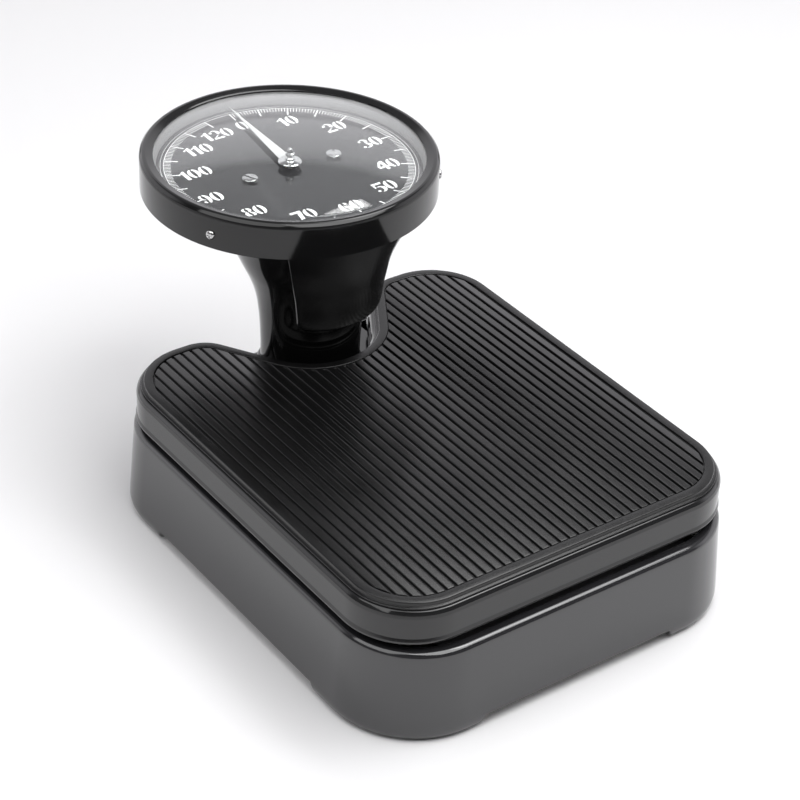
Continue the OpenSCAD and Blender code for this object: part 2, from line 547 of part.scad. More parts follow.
module rack() color([0.72, 0.6, 0.3]) place() {
  t = tooth * 0.5 - 0.09;           // tooth width at the pitch line
  ad = 0.22; de = 0.38; k = tan(20);
  y0 = -3; n = 19;
  teeth = [for (i = [0:n]) let (c = (i + 0.5 - 3) * tooth) for (q = [[pitch_r + de, -t / 2 - de * k], [pitch_r - ad, -t / 2 + ad * k], [pitch_r - ad, t / 2 - ad * k], [pitch_r + de, t / 2 + de * k]]) [q[0], c + q[1]]];
  translate([0, dial_y, rack_z - 1]) linear_extrude(2)
    polygon(concat([[6, -3.4], [pitch_r + de, -3.4]], teeth, [[pitch_r + de, 23.6], [6, 23.6]]));
  xrod(1, 5.9, 11, dial_y + 19.94, rack_z);
}
module pointer_arbor() color([0.7, 0.7, 0.72]) place() {
  // pinion teeth as true involutes
  N = pinion_teeth; rb = pitch_r * cos(20); ra = pitch_r + 0.24; rf = pitch_r - 0.4;
  t = tooth * 0.5 - 0.09;
  half = t / pitch_r * 90 / PI + inv(20);
  flank = [for (i = [0:5]) let (r = rb + (ra - rb) * i / 5, a = acos(min(1, rb / r)), w = half - inv(a)) [r, w]];
  pts = [for (i = [0:N - 1]) let (c = 360 * i / N) for (q = concat(
      [[rf, -half - 0.5]], [for (f = flank) [f[0], -f[1]]], [for (j = [5:-1:0]) flank[j]], [[rf, half + 0.5]]))
      [q[0] * cos(c + q[1]), q[0] * sin(c + q[1])]];
  translate([0, dial_y, rack_z - 1]) linear_extrude(2) polygon(pts);
  translate([0, dial_y, case_z + 2.2]) cylinder(r = 1, h = plate_z + 3.9 - case_z - 2.2);
}
module pointer() color([0.93, 0.93, 0.93]) place() {
  z = plate_z + 2.9;
  translate([0, dial_y, z]) rotate([0, 0, -zero_a]) difference() {
    linear_extrude(0.6) polygon([[-4.6, 0], [-4.2, 8], [-3.1, 30], [-1.2, 66], [0, pointer_len], [1.2, 66], [3.1, 30], [4.2, 8], [4.6, 0]]);
    translate([0, 0, -1]) cylinder(r = 5.2, h = 3);
  }
}
module pointer_hub() color([0.85, 0.85, 0.86]) place() {
  difference() {
    translate([0, dial_y, 0]) rotate_extrude($fn = 64)
      polygon([[0, plate_z + 2.4], [5.2, plate_z + 2.4], [5.2, plate_z + 2.9], [5.19, plate_z + 3.5], [8.2, plate_z + 3.5], [8.2, plate_z + 4.1], [7.5, plate_z + 4.6],
               [3.6, plate_z + 5.0], [3.3, plate_z + 6.6], [2.4, plate_z + 7.4], [2.2, plate_z + 8.2], [3.3, plate_z + 9.0], [3.3, plate_z + 10.0],
               [2.1, plate_z + 10.6], [1.9, plate_z + 12.4], [1.2, plate_z + 13.6], [0, plate_z + 14]]);
    translate([0, dial_y, plate_z]) cylinder(r = 1.03, h = 4.2);
  }
}

base_housing();
base_plate();
base_plate_screws();
rubber_feet();
fulcrum_brackets();
bracket_screws();
spring_tower();
main_springs();
spring_yoke();
long_lever();
short_lever();
lever_shackle();
platform_pan();
platform_frame();
platform_mat();
zero_knob();
zero_carriage();
column();
column_hood();
hood_screws();
column_bolts();
pull_rod();
dial_case();
case_screws();
bezel();
bezel_screws();
gasket();
glass();
reflector_ring();
dial_plate();
dial_pillars();
dial_screws();
movement_frame();
movement_bridge();
bell_crank();
crank_arbor();
rack();
pointer_arbor();
pointer();
pointer_hub();
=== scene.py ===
import bpy
import json
import math
from mathutils import Matrix, Vector


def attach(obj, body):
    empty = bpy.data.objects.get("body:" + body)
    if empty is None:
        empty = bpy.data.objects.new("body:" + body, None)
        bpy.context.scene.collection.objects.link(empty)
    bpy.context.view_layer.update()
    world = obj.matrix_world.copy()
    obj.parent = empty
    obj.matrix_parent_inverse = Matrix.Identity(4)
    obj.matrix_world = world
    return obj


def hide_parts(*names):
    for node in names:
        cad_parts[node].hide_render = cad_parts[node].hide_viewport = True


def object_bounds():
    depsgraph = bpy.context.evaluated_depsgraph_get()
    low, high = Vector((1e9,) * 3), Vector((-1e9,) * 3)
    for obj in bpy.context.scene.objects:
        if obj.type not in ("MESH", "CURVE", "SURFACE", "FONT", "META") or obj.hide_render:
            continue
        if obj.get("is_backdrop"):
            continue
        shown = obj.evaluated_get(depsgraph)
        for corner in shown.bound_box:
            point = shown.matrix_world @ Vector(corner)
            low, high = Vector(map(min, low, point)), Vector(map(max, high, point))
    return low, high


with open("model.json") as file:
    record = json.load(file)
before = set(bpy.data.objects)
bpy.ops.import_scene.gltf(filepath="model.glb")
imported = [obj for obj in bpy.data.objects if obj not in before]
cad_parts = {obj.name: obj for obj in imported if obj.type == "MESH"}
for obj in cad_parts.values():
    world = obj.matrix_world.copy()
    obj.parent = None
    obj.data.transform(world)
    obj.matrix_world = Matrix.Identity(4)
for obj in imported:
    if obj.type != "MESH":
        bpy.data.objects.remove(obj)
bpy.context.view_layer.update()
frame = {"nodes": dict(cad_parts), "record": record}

# ---------------------------------------------------------------- frame and camera
# The pieces are worked out in millimetres round the centre of the base, and PY
# shifts them into the row frame.
PY = -45.65


def P(x, y, z):
    return (x * 0.001, (y + PY) * 0.001, z * 0.001)


AZ, EL, ROLL = math.radians(-37.224), math.radians(34.64), math.radians(2.901)
back = Vector((math.sin(AZ) * math.cos(EL), -math.cos(AZ) * math.cos(EL), math.sin(EL)))
rt = Vector((math.cos(AZ), math.sin(AZ), 0))
up = back.cross(rt)
cam_x = rt * math.cos(ROLL) + up * math.sin(ROLL)
cam_y = up * math.cos(ROLL) - rt * math.sin(ROLL)
cam_data = bpy.data.cameras.new("camera")
cam = bpy.data.objects.new("camera", cam_data)
bpy.context.scene.collection.objects.link(cam)
rot = Matrix((cam_x, cam_y, back)).transposed()
cam.matrix_world = Matrix.Translation(Vector(P(-782.08, -1005.99, 973.20))) @ rot.to_4x4()
cam_data.sensor_width = 36
cam_data.sensor_fit = "HORIZONTAL"
cam_data.lens = 2321.667 / 800 * 36
cam_data.shift_x = -1.496 / 800
cam_data.shift_y = 27.657 / 800
cam_data.clip_start, cam_data.clip_end = 0.05, 60
cam_data.dof.use_dof = False
bpy.context.scene.camera = cam

# ---------------------------------------------------------------- materials


def new_mat(name):
    m = bpy.data.materials.new(name)
    m.use_nodes = True
    t = m.node_tree
    for n in list(t.nodes):
        t.nodes.remove(n)
    out = t.nodes.new("ShaderNodeOutputMaterial")
    b = t.nodes.new("ShaderNodeBsdfPrincipled")
    t.links.new(b.outputs["BSDF"], out.inputs["Surface"])
    c = t.nodes.new("ShaderNodeTexCoord")
    return m, t, b, c


def noise(t, c, scale, detail=3.0, rough=0.5, stretch=None):
    n = t.nodes.new("ShaderNodeTexNoise")
    n.inputs["Scale"].default_value = scale
    n.inputs["Detail"].default_value = detail
    n.inputs["Roughness"].default_value = rough
    if stretch:
        mp = t.nodes.new("ShaderNodeMapping")
        mp.inputs["Scale"].default_value = stretch
        t.links.new(c.outputs["Object"], mp.inputs["Vector"])
        t.links.new(mp.outputs["Vector"], n.inputs["Vector"])
    else:
        t.links.new(c.outputs["Object"], n.inputs["Vector"])
    return n


def ramp(t, src, stops):
    r = t.nodes.new("ShaderNodeValToRGB")
    e = r.color_ramp.elements
    while len(e) < len(stops):
        e.new(0.5)
    for i, (p, col) in enumerate(stops):
        e[i].position = p
        e[i].color = (*col, 1) if len(col) == 3 else col
    t.links.new(src, r.inputs["Fac"])
    return r.outputs["Color"]


def span(t, src, lo, hi, a=0.3, b=0.7):
    r = t.nodes.new("ShaderNodeMapRange")
    r.inputs["From Min"].default_value = a
    r.inputs["From Max"].default_value = b
    r.inputs["To Min"].default_value = lo
    r.inputs["To Max"].default_value = hi
    t.links.new(src, r.inputs["Value"])
    return r.outputs["Result"]


def bump(t, b, src, dist, strength=1.0, prev=None):
    n = t.nodes.new("ShaderNodeBump")
    n.inputs["Distance"].default_value = dist
    n.inputs["Strength"].default_value = strength
    t.links.new(src, n.inputs["Height"])
    if prev is not None:
        t.links.new(prev, n.inputs["Normal"])
    t.links.new(n.outputs["Normal"], b.inputs["Normal"])
    return n.outputs["Normal"]


def grey(v, tint=(1.0, 1.0, 1.0)):
    return (v * tint[0], v * tint[1], v * tint[2])


def paint(name, lo, hi, r_lo, r_hi, coat=0.0, coat_r=0.1, peel=0.00002, tint=(1, 1, 1.03), ior=1.5, spec=0.5, peel_scale=900):
    """Enamel or moulded plastic: faint cloudy colour, uneven gloss, fine orange peel and dust."""
    m, t, b, c = new_mat(name)
    cloud = noise(t, c, 18, 4, 0.6)
    base = ramp(t, cloud.outputs["Fac"], [(0.3, grey(lo, tint)), (0.7, grey(hi, tint))])
    dust = noise(t, c, 1500, 2, 0.5)
    mix = t.nodes.new("ShaderNodeMix")
    mix.data_type = "RGBA"
    mix.blend_type = "MIX"
    f = span(t, dust.outputs["Fac"], 0, 0.25, 0.74, 0.80)
    t.links.new(f, mix.inputs["Factor"])
    t.links.new(base, mix.inputs["A"])
    mix.inputs["B"].default_value = (*grey(max(hi * 3, 0.09)), 1)
    t.links.new(mix.outputs["Result"], b.inputs["Base Color"])
    smear = noise(t, c, 30, 5, 0.65)
    t.links.new(span(t, smear.outputs["Fac"], r_lo, r_hi), b.inputs["Roughness"])
    if coat:
        b.inputs["Coat Weight"].default_value = coat
        b.inputs["Coat Roughness"].default_value = coat_r
    b.inputs["IOR"].default_value = ior
    b.inputs["Specular IOR Level"].default_value = spec
    n1 = noise(t, c, peel_scale, 2, 0.5)
    bump(t, b, n1.outputs["Fac"], peel)
    return m


def metal(name, lo, hi, r_lo, r_hi, tint=(1, 1, 1), stretch=None, scale=60, b_dist=0.00001):
    m, t, b, c = new_mat(name)
    b.inputs["Metallic"].default_value = 1.0
    n = noise(t, c, scale, 4, 0.6, stretch)
    col = ramp(t, n.outputs["Fac"], [(0.3, grey(lo, tint)), (0.7, grey(hi, tint))])
    t.links.new(col, b.inputs["Base Color"])
    n2 = noise(t, c, scale * 2.3, 3, 0.6, stretch)
    t.links.new(span(t, n2.outputs["Fac"], r_lo, r_hi), b.inputs["Roughness"])
    n3 = noise(t, c, scale * 12, 2, 0.5, stretch)
    bump(t, b, n3.outputs["Fac"], b_dist)
    return m


def rubber(name, lo, hi, r_lo, r_hi, grain=0.00006, g_scale=2600, spec=0.5):
    m, t, b, c = new_mat(name)
    cloud = noise(t, c, 22, 5, 0.6)
    base = ramp(t, cloud.outputs["Fac"], [(0.28, grey(lo, (1, 1, 1.02))), (0.72, grey(hi, (1, 1, 1.02)))])
    speck = noise(t, c, 1900, 2, 0.6)
    mix = t.nodes.new("ShaderNodeMix")
    mix.data_type = "RGBA"
    t.links.new(span(t, speck.outputs["Fac"], 0, 0.35, 0.72, 0.80), mix.inputs["Factor"])
    t.links.new(base, mix.inputs["A"])
    mix.inputs["B"].default_value = (0.16, 0.16, 0.16, 1)
    t.links.new(mix.outputs["Result"], b.inputs["Base Color"])
    t.links.new(span(t, noise(t, c, 45, 4, 0.6).outputs["Fac"], r_lo, r_hi), b.inputs["Roughness"])
    b.inputs["Specular IOR Level"].default_value = spec
    g = noise(t, c, g_scale, 3, 0.6)
    bump(t, b, g.outputs["Fac"], grain)
    return m


M = {}
M["black_enamel"] = paint("black_enamel", 0.018, 0.023, 0.09, 0.13, peel=0.000010, ior=1.76, tint=(1.0, 0.99, 1.08))
M["pan_enamel"] = paint("pan_enamel", 0.010, 0.014, 0.06, 0.09, peel=0.000008, ior=1.58)
M["hood_enamel"] = paint("hood_enamel", 0.0035, 0.005, 0.15, 0.18, peel=0.000003, ior=1.5)
M["column_enamel"] = paint("column_enamel", 0.0035, 0.005, 0.07, 0.09, peel=0.000003, ior=1.5)
M["black_gloss"] = paint("black_gloss", 0.006, 0.009, 0.07, 0.10, peel=0.000005, ior=1.5)
M["mat_rubber"] = rubber("mat_rubber", 0.003, 0.005, 0.19, 0.25, grain=0.00003, spec=0.55)
M["foot_rubber"] = rubber("foot_rubber", 0.015, 0.025, 0.6, 0.75)
M["seal_rubber"] = rubber("seal_rubber", 0.008, 0.014, 0.4, 0.5)
M["zinc_steel"] = metal("zinc_steel", 0.42, 0.55, 0.28, 0.42, tint=(1, 0.99, 0.94))
M["chrome_screw"] = metal("chrome_screw", 0.55, 0.70, 0.06, 0.14)
M["hub_chrome"] = metal("hub_chrome", 0.78, 0.88, 0.05, 0.11)
M["spring_steel"] = metal("spring_steel", 0.22, 0.34, 0.25, 0.4)
M["brass_part"] = metal("brass_part", 0.62, 0.78, 0.2, 0.34, tint=(1, 0.78, 0.40))
M["lever_steel"] = paint("lever_steel", 0.03, 0.05, 0.4, 0.55, peel=0.00004)
M["knob_plastic"] = paint("knob_plastic", 0.012, 0.02, 0.3, 0.42, peel=0.00003)
M["dial_black"] = paint("dial_black", 0.010, 0.013, 0.07, 0.09, peel=0.000003, peel_scale=500, ior=1.66, tint=(1.0, 0.99, 1.06))
M["white_ring"] = paint("white_ring", 0.15, 0.19, 0.35, 0.45, peel=0.00001, tint=(1, 1, 1))
M["pointer_paint"] = paint("pointer_paint", 0.50, 0.56, 0.3, 0.4, peel=0.000006, tint=(1, 1, 1))
M["dial_ink"] = paint("dial_ink", 0.84, 0.90, 0.45, 0.55, peel=0.000006, tint=(1, 1, 1))

m, t, b, c = new_mat("dial_glass")
b.inputs["Transmission Weight"].default_value = 1.0
b.inputs["IOR"].default_value = 1.5
gl = noise(t, c, 9, 3, 0.5)
t.links.new(ramp(t, gl.outputs["Fac"], [(0.3, (0.975, 0.992, 0.988)), (0.7, (0.985, 0.998, 0.994))]), b.inputs["Base Color"])
t.links.new(span(t, noise(t, c, 14, 4, 0.6).outputs["Fac"], 0.0, 0.006, 0.5, 0.8), b.inputs["Roughness"])
M["dial_glass"] = m

# ---------------------------------------------------------------- mesh helpers


class Mesh:
    """Collects vertices in millimetres and faces with a material number."""

    def __init__(self):
        self.v, self.f, self.m = [], [], []

    def add(self, verts, faces, mi=0):
        k = len(self.v)
        self.v += [tuple(p) for p in verts]
        self.f += [[k + i for i in q] for q in faces]
        self.m += [mi] * len(faces)

    def grid(self, rows, close_u=False, close_v=False, mi=0, flip=False):
        """rows[i][j] are points; quads join row i to row i + 1. close_u joins the last row to the first."""
        n, k = len(rows), len(rows[0])
        verts = [p for r in rows for p in r]
        faces = []
        for i in range(n if close_u else n - 1):
            for j in range(k if close_v else k - 1):
                a, b2 = i * k + j, i * k + (j + 1) % k
                c2, d = ((i + 1) % n) * k + (j + 1) % k, ((i + 1) % n) * k + j
                faces.append([a, d, c2, b2] if flip else [a, b2, c2, d])
        self.add(verts, faces, mi)

    def build(self, name, mats, body, nodes=(), sharp=38, merge=1e-3, bevel=None):
        me = bpy.data.meshes.new(name)
        me.from_pydata([P(*p) for p in self.v], [], self.f)
        for mm in mats:
            me.materials.append(mm)
        for poly, mi in zip(me.polygons, self.m):
            poly.material_index = mi
        import bmesh
        bm = bmesh.new()
        bm.from_mesh(me)
        if merge:
            bmesh.ops.remove_doubles(bm, verts=bm.verts, dist=merge * 0.001)
        bmesh.ops.dissolve_degenerate(bm, edges=bm.edges, dist=1e-8)
        bmesh.ops.recalc_face_normals(bm, faces=bm.faces)
        bm.to_mesh(me)
        bm.free()
        for poly in me.polygons:
            poly.use_smooth = True
        me.set_sharp_from_angle(angle=math.radians(sharp))
        me.update()
        o = bpy.data.objects.new(name, me)
        bpy.context.scene.collection.objects.link(o)
        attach(o, body)
        if nodes:
            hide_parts(*nodes)
        return o


def fillet(pts, seg=6, closed=True):
    """pts = [(x, y, r)]: the polygon with each corner rounded to radius r."""
    out = []
    n = len(pts)
    for i, p in enumerate(pts):
        r = p[2] if len(p) > 2 else 0
        if r <= 0 or (not closed and i in (0, n - 1)):
            out.append((p[0], p[1]))
            continue
        a, b2 = Vector(pts[i - 1][:2]), Vector(pts[(i + 1) % n][:2])
        v = Vector(p[:2])
        d1, d2 = (a - v), (b2 - v)
        l1, l2 = d1.length, d2.length
        d1.normalize(), d2.normalize()
        ang = math.acos(max(-1, min(1, d1.dot(d2))))
        if ang > math.pi - 1e-3:
            out.append((p[0], p[1]))
            continue
        tl = min(r / math.tan(ang / 2), l1 * 0.49, l2 * 0.49)
        rr = tl * math.tan(ang / 2)
        c = v + (d1 + d2).normalized() * (rr / math.sin(ang / 2))
        s, e = v + d1 * tl - c, v + d2 * tl - c
        a0 = math.atan2(s.y, s.x)
        da = math.atan2(e.y, e.x) - a0
        while da > math.pi:
            da -= 2 * math.pi
        while da < -math.pi:
            da += 2 * math.pi
        k = max(2, seg)
        for j in range(k + 1):
            w = a0 + da * j / k
            out.append((c.x + rr * math.cos(w), c.y + rr * math.sin(w)))
    return out


def lathe(mesh, prof, cx=0.0, cy=0.0, seg=96, a0=0.0, a1=360.0, closed=True, mi=0):
    """Profile (r, z) turned about the vertical through (cx, cy)."""
    full = abs(a1 - a0 - 360) < 1e-6
    n = seg if full else seg + 1
    rows = []
    for i in range(n):
        a = math.radians(a0 + (a1 - a0) * i / seg)
        rows.append([(cx + r * math.cos(a), cy + r * math.sin(a), z) for r, z in prof])
    mesh.grid(rows, close_u=full, close_v=closed, mi=mi)
    if not full and closed:
        k = len(mesh.v) - n * len(prof)
        mesh.f.append([k + j for j in range(len(prof))])
        mesh.m.append(mi)
        mesh.f.append([k + (n - 1) * len(prof) + j for j in reversed(range(len(prof)))])
        mesh.m.append(mi)


def tube(mesh, prof, origin, axis, seg=48, mi=0):
    """Profile (r, h) turned about an axis through origin."""
    ax = Vector(axis).normalized()
    u = ax.orthogonal().normalized()
    w = ax.cross(u)
    o = Vector(origin)
    rows = []
    for i in range(seg):
        a = 2 * math.pi * i / seg
        d = u * math.cos(a) + w * math.sin(a)
        rows.append([tuple(o + d * r + ax * h) for r, h in prof])
    mesh.grid(rows, close_u=True, close_v=False, mi=mi)


def smooth_curve(pts, n=8):
    """Catmull-Rom through (x, y) points."""
    out = []
    q = [pts[0]] + list(pts) + [pts[-1]]
    for i in range(1, len(q) - 2):
        for j in range(n):
            s = j / n
            out.append(tuple(0.5 * (2 * q[i][k] + (q[i + 1][k] - q[i - 1][k]) * s
                                    + (2 * q[i - 1][k] - 5 * q[i][k] + 4 * q[i + 1][k] - q[i + 2][k]) * s * s
                                    + (3 * q[i][k] - q[i - 1][k] - 3 * q[i + 1][k] + q[i + 2][k]) * s ** 3) for k in (0, 1)))
    out.append(tuple(pts[-1][:2]))
    return out


def sweep(mesh, outline, prof, closed_prof=True, mi=0):
    """outline = [(x, y, nx, ny)], prof = [(d, z)] or a function of the station that gives one."""
    rows = []
    for i, (x, y, nx, ny) in enumerate(outline):
        p = prof(i) if callable(prof) else prof
        rows.append([(x + d * nx, y + d * ny, z) for d, z in p])
    mesh.grid(rows, close_u=True, close_v=closed_prof, mi=mi)
    return rows


def cap(mesh, outline, d, z, mi=0, up=True):
    pts = [(x + d * nx, y + d * ny, z) for x, y, nx, ny in outline]
    mesh.add(pts, [list(range(len(pts)))] if up else [list(reversed(range(len(pts))))], mi)


def rbox(mesh, x0, x1, y0, y1, z0, z1, r=0.5, mi=0):
    """Box with chamfered edges, drawn as three crossing profiles."""
    xs, ys = (x0, x1), (y0, y1)
    ring = lambda s, z: [(x0 + s, y0, z), (x1 - s, y0, z), (x1, y0 + s, z), (x1, y1 - s, z), (x1 - s, y1, z), (x0 + s, y1, z), (x0, y1 - s, z), (x0, y0 + s, z)]
    inner = lambda s, z: [(x0 + s, y0 + s, z), (x1 - s, y0 + s, z), (x1 - s, y0 + s, z), (x1 - s, y1 - s, z), (x1 - s, y1 - s, z), (x0 + s, y1 - s, z), (x0 + s, y1 - s, z), (x0 + s, y0 + s, z)]
    rows = [inner(r, z0), ring(r, z0 + r), ring(r, z1 - r), inner(r, z1)]
    mesh.grid(rows, close_v=True, mi=mi)
    k = len(mesh.v) - 32
    mesh.f += [[k, k + 1, k + 3, k + 5][::-1], [k + 24, k + 25, k + 27, k + 29]]
    mesh.m += [mi, mi]


# ---------------------------------------------------------------- outlines
BC = (88.0, 115.7)


def base_outline(step=3.0, splits_x=(), splits_y=()):
    """Round the base rectangle; the offset is measured from the corner centres."""
    out = []
    n = int(90 / step)
    cx, cy = BC
    for k, (sx, sy, a0) in enumerate([(1, -1, -90), (1, 1, 0), (-1, 1, 90), (-1, -1, 180)]):
        for i in range(n + 1):
            a = math.radians(a0 + 90 * i / n)
            out.append((sx * cx, sy * cy, math.cos(a), math.sin(a)))
        # straight that follows this corner
        if k == 0:
            out += [(cx, y, 1, 0) for y in sorted(splits_y)]
        elif k == 1:
            out += [(x, cy, 0, 1) for x in sorted(splits_x, reverse=True)]
        elif k == 2:
            out += [(-cx, y, -1, 0) for y in sorted(splits_y, reverse=True)]
        else:
            out += [(x, -cy, 0, -1) for x in sorted(splits_x)]
    return out


MAT_W, MAT_REAR, MAT_FRONT, MAT_RR, MAT_RO, MAT_RI, LOBE_X = 138.8, -161.3, 160.0, 43.5, 43.0, 24.0, 86.0
NOTCH_Y, NOTCH_R = 138.0, 50.0
_D = math.hypot(LOBE_X, MAT_FRONT - MAT_RI - NOTCH_Y)
NN = math.degrees(math.atan2(MAT_FRONT - MAT_RI - NOTCH_Y, LOBE_X)) - math.degrees(math.acos((NOTCH_R + MAT_RI) / _D))


def _arc(c, r, a0, a1, step, sign=1):
    n = max(2, int(abs(a1 - a0) / step))
    res = []
    for i in range(n + 1):
        a = math.radians(a0 + (a1 - a0) * i / n)
        res.append((c[0] + r * math.cos(a), c[1] + r * math.sin(a), sign * math.cos(a), sign * math.sin(a)))
    return res


def _line(a, b2, n):
    return [(a[0] + (b2[0] - a[0]) * i / n, a[1] + (b2[1] - a[1]) * i / n, a[2], a[3]) for i in range(1, n)]


def deck_outline(step=3.0):
    parts = [
        _arc((MAT_W - MAT_RR, MAT_REAR + MAT_RR), MAT_RR, -90, 0, step),
        _arc((MAT_W - MAT_RO, MAT_FRONT - MAT_RO), MAT_RO, 0, 89.6, step),
        _arc((LOBE_X, MAT_FRONT - MAT_RI), MAT_RI, 91.5, 180 + NN, step),
        _arc((0, NOTCH_Y), NOTCH_R, NN, -180 - NN, step, -1),
        _arc((-LOBE_X, MAT_FRONT - MAT_RI), MAT_RI, -NN, 88.5, step),
        _arc((MAT_RO - MAT_W, MAT_FRONT - MAT_RO), MAT_RO, 90.4, 180, step),
        _arc((MAT_RR - MAT_W, MAT_REAR + MAT_RR), MAT_RR, 180, 270, step),
    ]
    out = []
    for i, p in enumerate(parts):
        out += p
        nx = parts[(i + 1) % len(parts)][0]
        d = math.hypot(nx[0] - p[-1][0], nx[1] - p[-1][1])
        if d > 12:
            out += _line(p[-1], nx, int(d / 12) + 1)
    return out


DECK = deck_outline()

# ---------------------------------------------------------------- base housing


def u_out(z):
    return 62 - 0.075 * (z - 8.3)


def build_base():
    g = Mesh()
    gx, gy = 77.0, 93.2
    st = [-1.3, -0.9, -0.45, 0.0, 0.45, 0.9, 1.3]
    sx = sorted([s * (gx + d) for s in (-1, 1) for d in st] + [-50, -25, 0, 25, 50, 54, 66])
    sy = sorted([s * (gy + d) for s in (-1, 1) for d in st] + [-60, -30, 0, 30, 60])
    ol = base_outline(2.5, sx, sy)

    def foot(x, y, nx, ny):
        if abs(nx) > 0.999 and abs(abs(x) - BC[0]) < 1e-6 and abs(y) < BC[1] - 1e-6:
            s = (abs(y) - (gy - 1.3)) / 2.6
        elif abs(ny) > 0.999 and abs(x) < BC[0] - 1e-6:
            s = (abs(x) - (gx - 1.3)) / 2.6
        else:
            s = 1
        s = max(0.0, min(1.0, s))
        return s * s * (3 - 2 * s)

    # outer wall, shoulder and ledge, going up; then the inside, going down
    outer = [(u_out(z), z) for z in (10.5, 20, 32, 44, 54)]
    zt = 63.0
    uo = u_out(zt)
    outer += [(uo - 4.5 + 4.5 * math.cos(math.radians(a)), zt + 4.5 * math.sin(math.radians(a))) for a in range(0, 91, 9)]
    lip = fillet([(uo - 4.5, 67.5), (49.4, 67.5, 0.7), (49.4, 64.4, 0.7), (53.6, 64.4, 0.8), (54.9, 61.5, 3), (u_out(44) - 3, 44), (u_out(32) - 3, 32), (u_out(10.5) - 3, 10.5)], 4, closed=False)[1:]
    G = [(u_out(8.8) - 3, 9.2), (u_out(8.8) - 2.9, 8.9), (u_out(8.8) - 2.9, 8.6), (u_out(8.8) - 2.7, 8.35), (u_out(8.8) - 2.3, 8.3), (u_out(8.8) - 1.6, 8.3),
         (u_out(8.3) - 1.1, 8.3), (u_out(8.3) - 0.7, 8.3), (u_out(8.3) - 0.42, 8.38), (u_out(8.3) - 0.2, 8.58), (u_out(8.3) - 0.06, 8.85), (u_out(9.2), 9.3)]
    F = [(58.6, 9.0), (52, 8.8), (49.6, 8.8), (49, 8.2), (49, 1.6), (49.6, 0.9),
         (55, 0.9), (57.4, 0.95), (59.2, 1.55), (60.6, 2.9), (61.5, 4.9), (61.95, 7.4)]

    def prof(i):
        x, y, nx, ny = ol[i]
        w = foot(x, y, nx, ny)
        low = [(a[0] + (b2[0] - a[0]) * w, a[1] + (b2[1] - a[1]) * w) for a, b2 in zip(G, F)]
        return outer + lip + low

    sweep(g, ol, prof)
    # bore for the knob's spindle through the front wall: two wall faces become rings round a circle
    kp = len(prof(0))
    st = next(i for i in range(len(ol)) if abs(ol[i][0] - 66) < 1e-6 and abs(ol[i][1] - BC[1]) < 1e-6 and abs(ol[i + 1][0] - 54) < 1e-6)
    gone = {st * kp + 2, st * kp + len(outer) + len(lip) - 3}
    g.f = [q for i, q in enumerate(g.f) if i not in gone]
    g.m = [q for i, q in enumerate(g.m) if i not in gone]
    circ = [(60 + 3.25 * math.cos(math.radians(11.25 * i)), 38 + 3.25 * math.sin(math.radians(11.25 * i))) for i in range(32)]
    for d in (0.0, -3.0):
        plane = lambda x, z: (x, BC[1] + u_out(z) + d, z)
        box = [plane(66, 44), plane(54, 44), plane(54, 32), plane(66, 32)]
        arc = [plane(x, z) for x, z in circ]
        faces = []
        for c in range(4):
            run = [(4 + 8 * c + i) % 32 for i in range(9)]
            faces.append([c, (c + 1) % 4] + [4 + i for i in reversed(run)])
        g.add(box + arc, faces)
    g.grid([[(x, BC[1] + u_out(z), z), (x, BC[1] + u_out(z) - 3, z)] for x, z in circ], close_u=True)
    # deck with the hole for the rod
    cy = 135.0
    X0, X1, Y0, Y1 = -64.0, 64.0, 89.0, 171.4
    angs = sorted(set([i * 7.5 for i in range(48)] + [math.degrees(math.atan2(y - cy, x)) % 360 for x in (X0, X1) for y in (Y0, Y1)]))
    inner, outr = [], []
    for a in angs:
        ca, sa = math.cos(math.radians(a)), math.sin(math.radians(a))
        k = min([(X1 if ca > 0 else X0) / ca if abs(ca) > 1e-9 else 1e9, ((Y1 if sa > 0 else Y0) - cy) / sa if abs(sa) > 1e-9 else 1e9])
        inner.append((27 * ca, cy + 27 * sa))
        outr.append((k * ca, cy + k * sa))
    rows = []
    for (ix, iy), (ox, oy) in zip(inner, outr):
        dx, dy = ox - ix, oy - iy
        ln = math.hypot(dx, dy)
        e1 = (ox - dx / ln * 0.8, oy - dy / ln * 0.8)
        rows.append([(ix, iy, 61.5), (e1[0], e1[1], 61.5), (ox, oy, 62.3), (ox, oy, 64.7), (e1[0], e1[1], 65.5), (ix, iy, 65.5)])
    g.grid(rows, close_u=True, close_v=True)
    # turret
    lathe(g, fillet([(27.2, 61.7), (27.2, 76, 0.5), (38, 76, 2.6), (38, 65.6, 3.2), (43, 65.6), (43, 61.7)], 6), 0, cy, 96)
    # stiffening ribs and screw lugs
    for x in (-50, 50):
        rbox(g, x - 2, x + 2, 100, 141.5, 54, 61.6, 0.5)
        rbox(g, x - 2, x + 2, 158.5, 171.4, 54, 61.6, 0.5)
    for x, y in [(139, 75), (139, -75), (-139, 75), (-139, -75)]:
        if x > 0:
            rbox(g, 132, 146.9, y - 7, y + 7, 11.2, 22, 0.8)
        else:
            rbox(g, -146.9, -132, y - 7, y + 7, 11.2, 22, 0.8)
    for x in (-60, 60):
        rbox(g, x - 7, x + 7, 159.5, 174.6, 11.2, 22, 0.8)
        rbox(g, x - 7, x + 7, -174.6, -159.5, 11.2, 22, 0.8)
    return g.build("base_shell", [M["black_enamel"]], "base", ["base_housing"], sharp=32)


build_base()

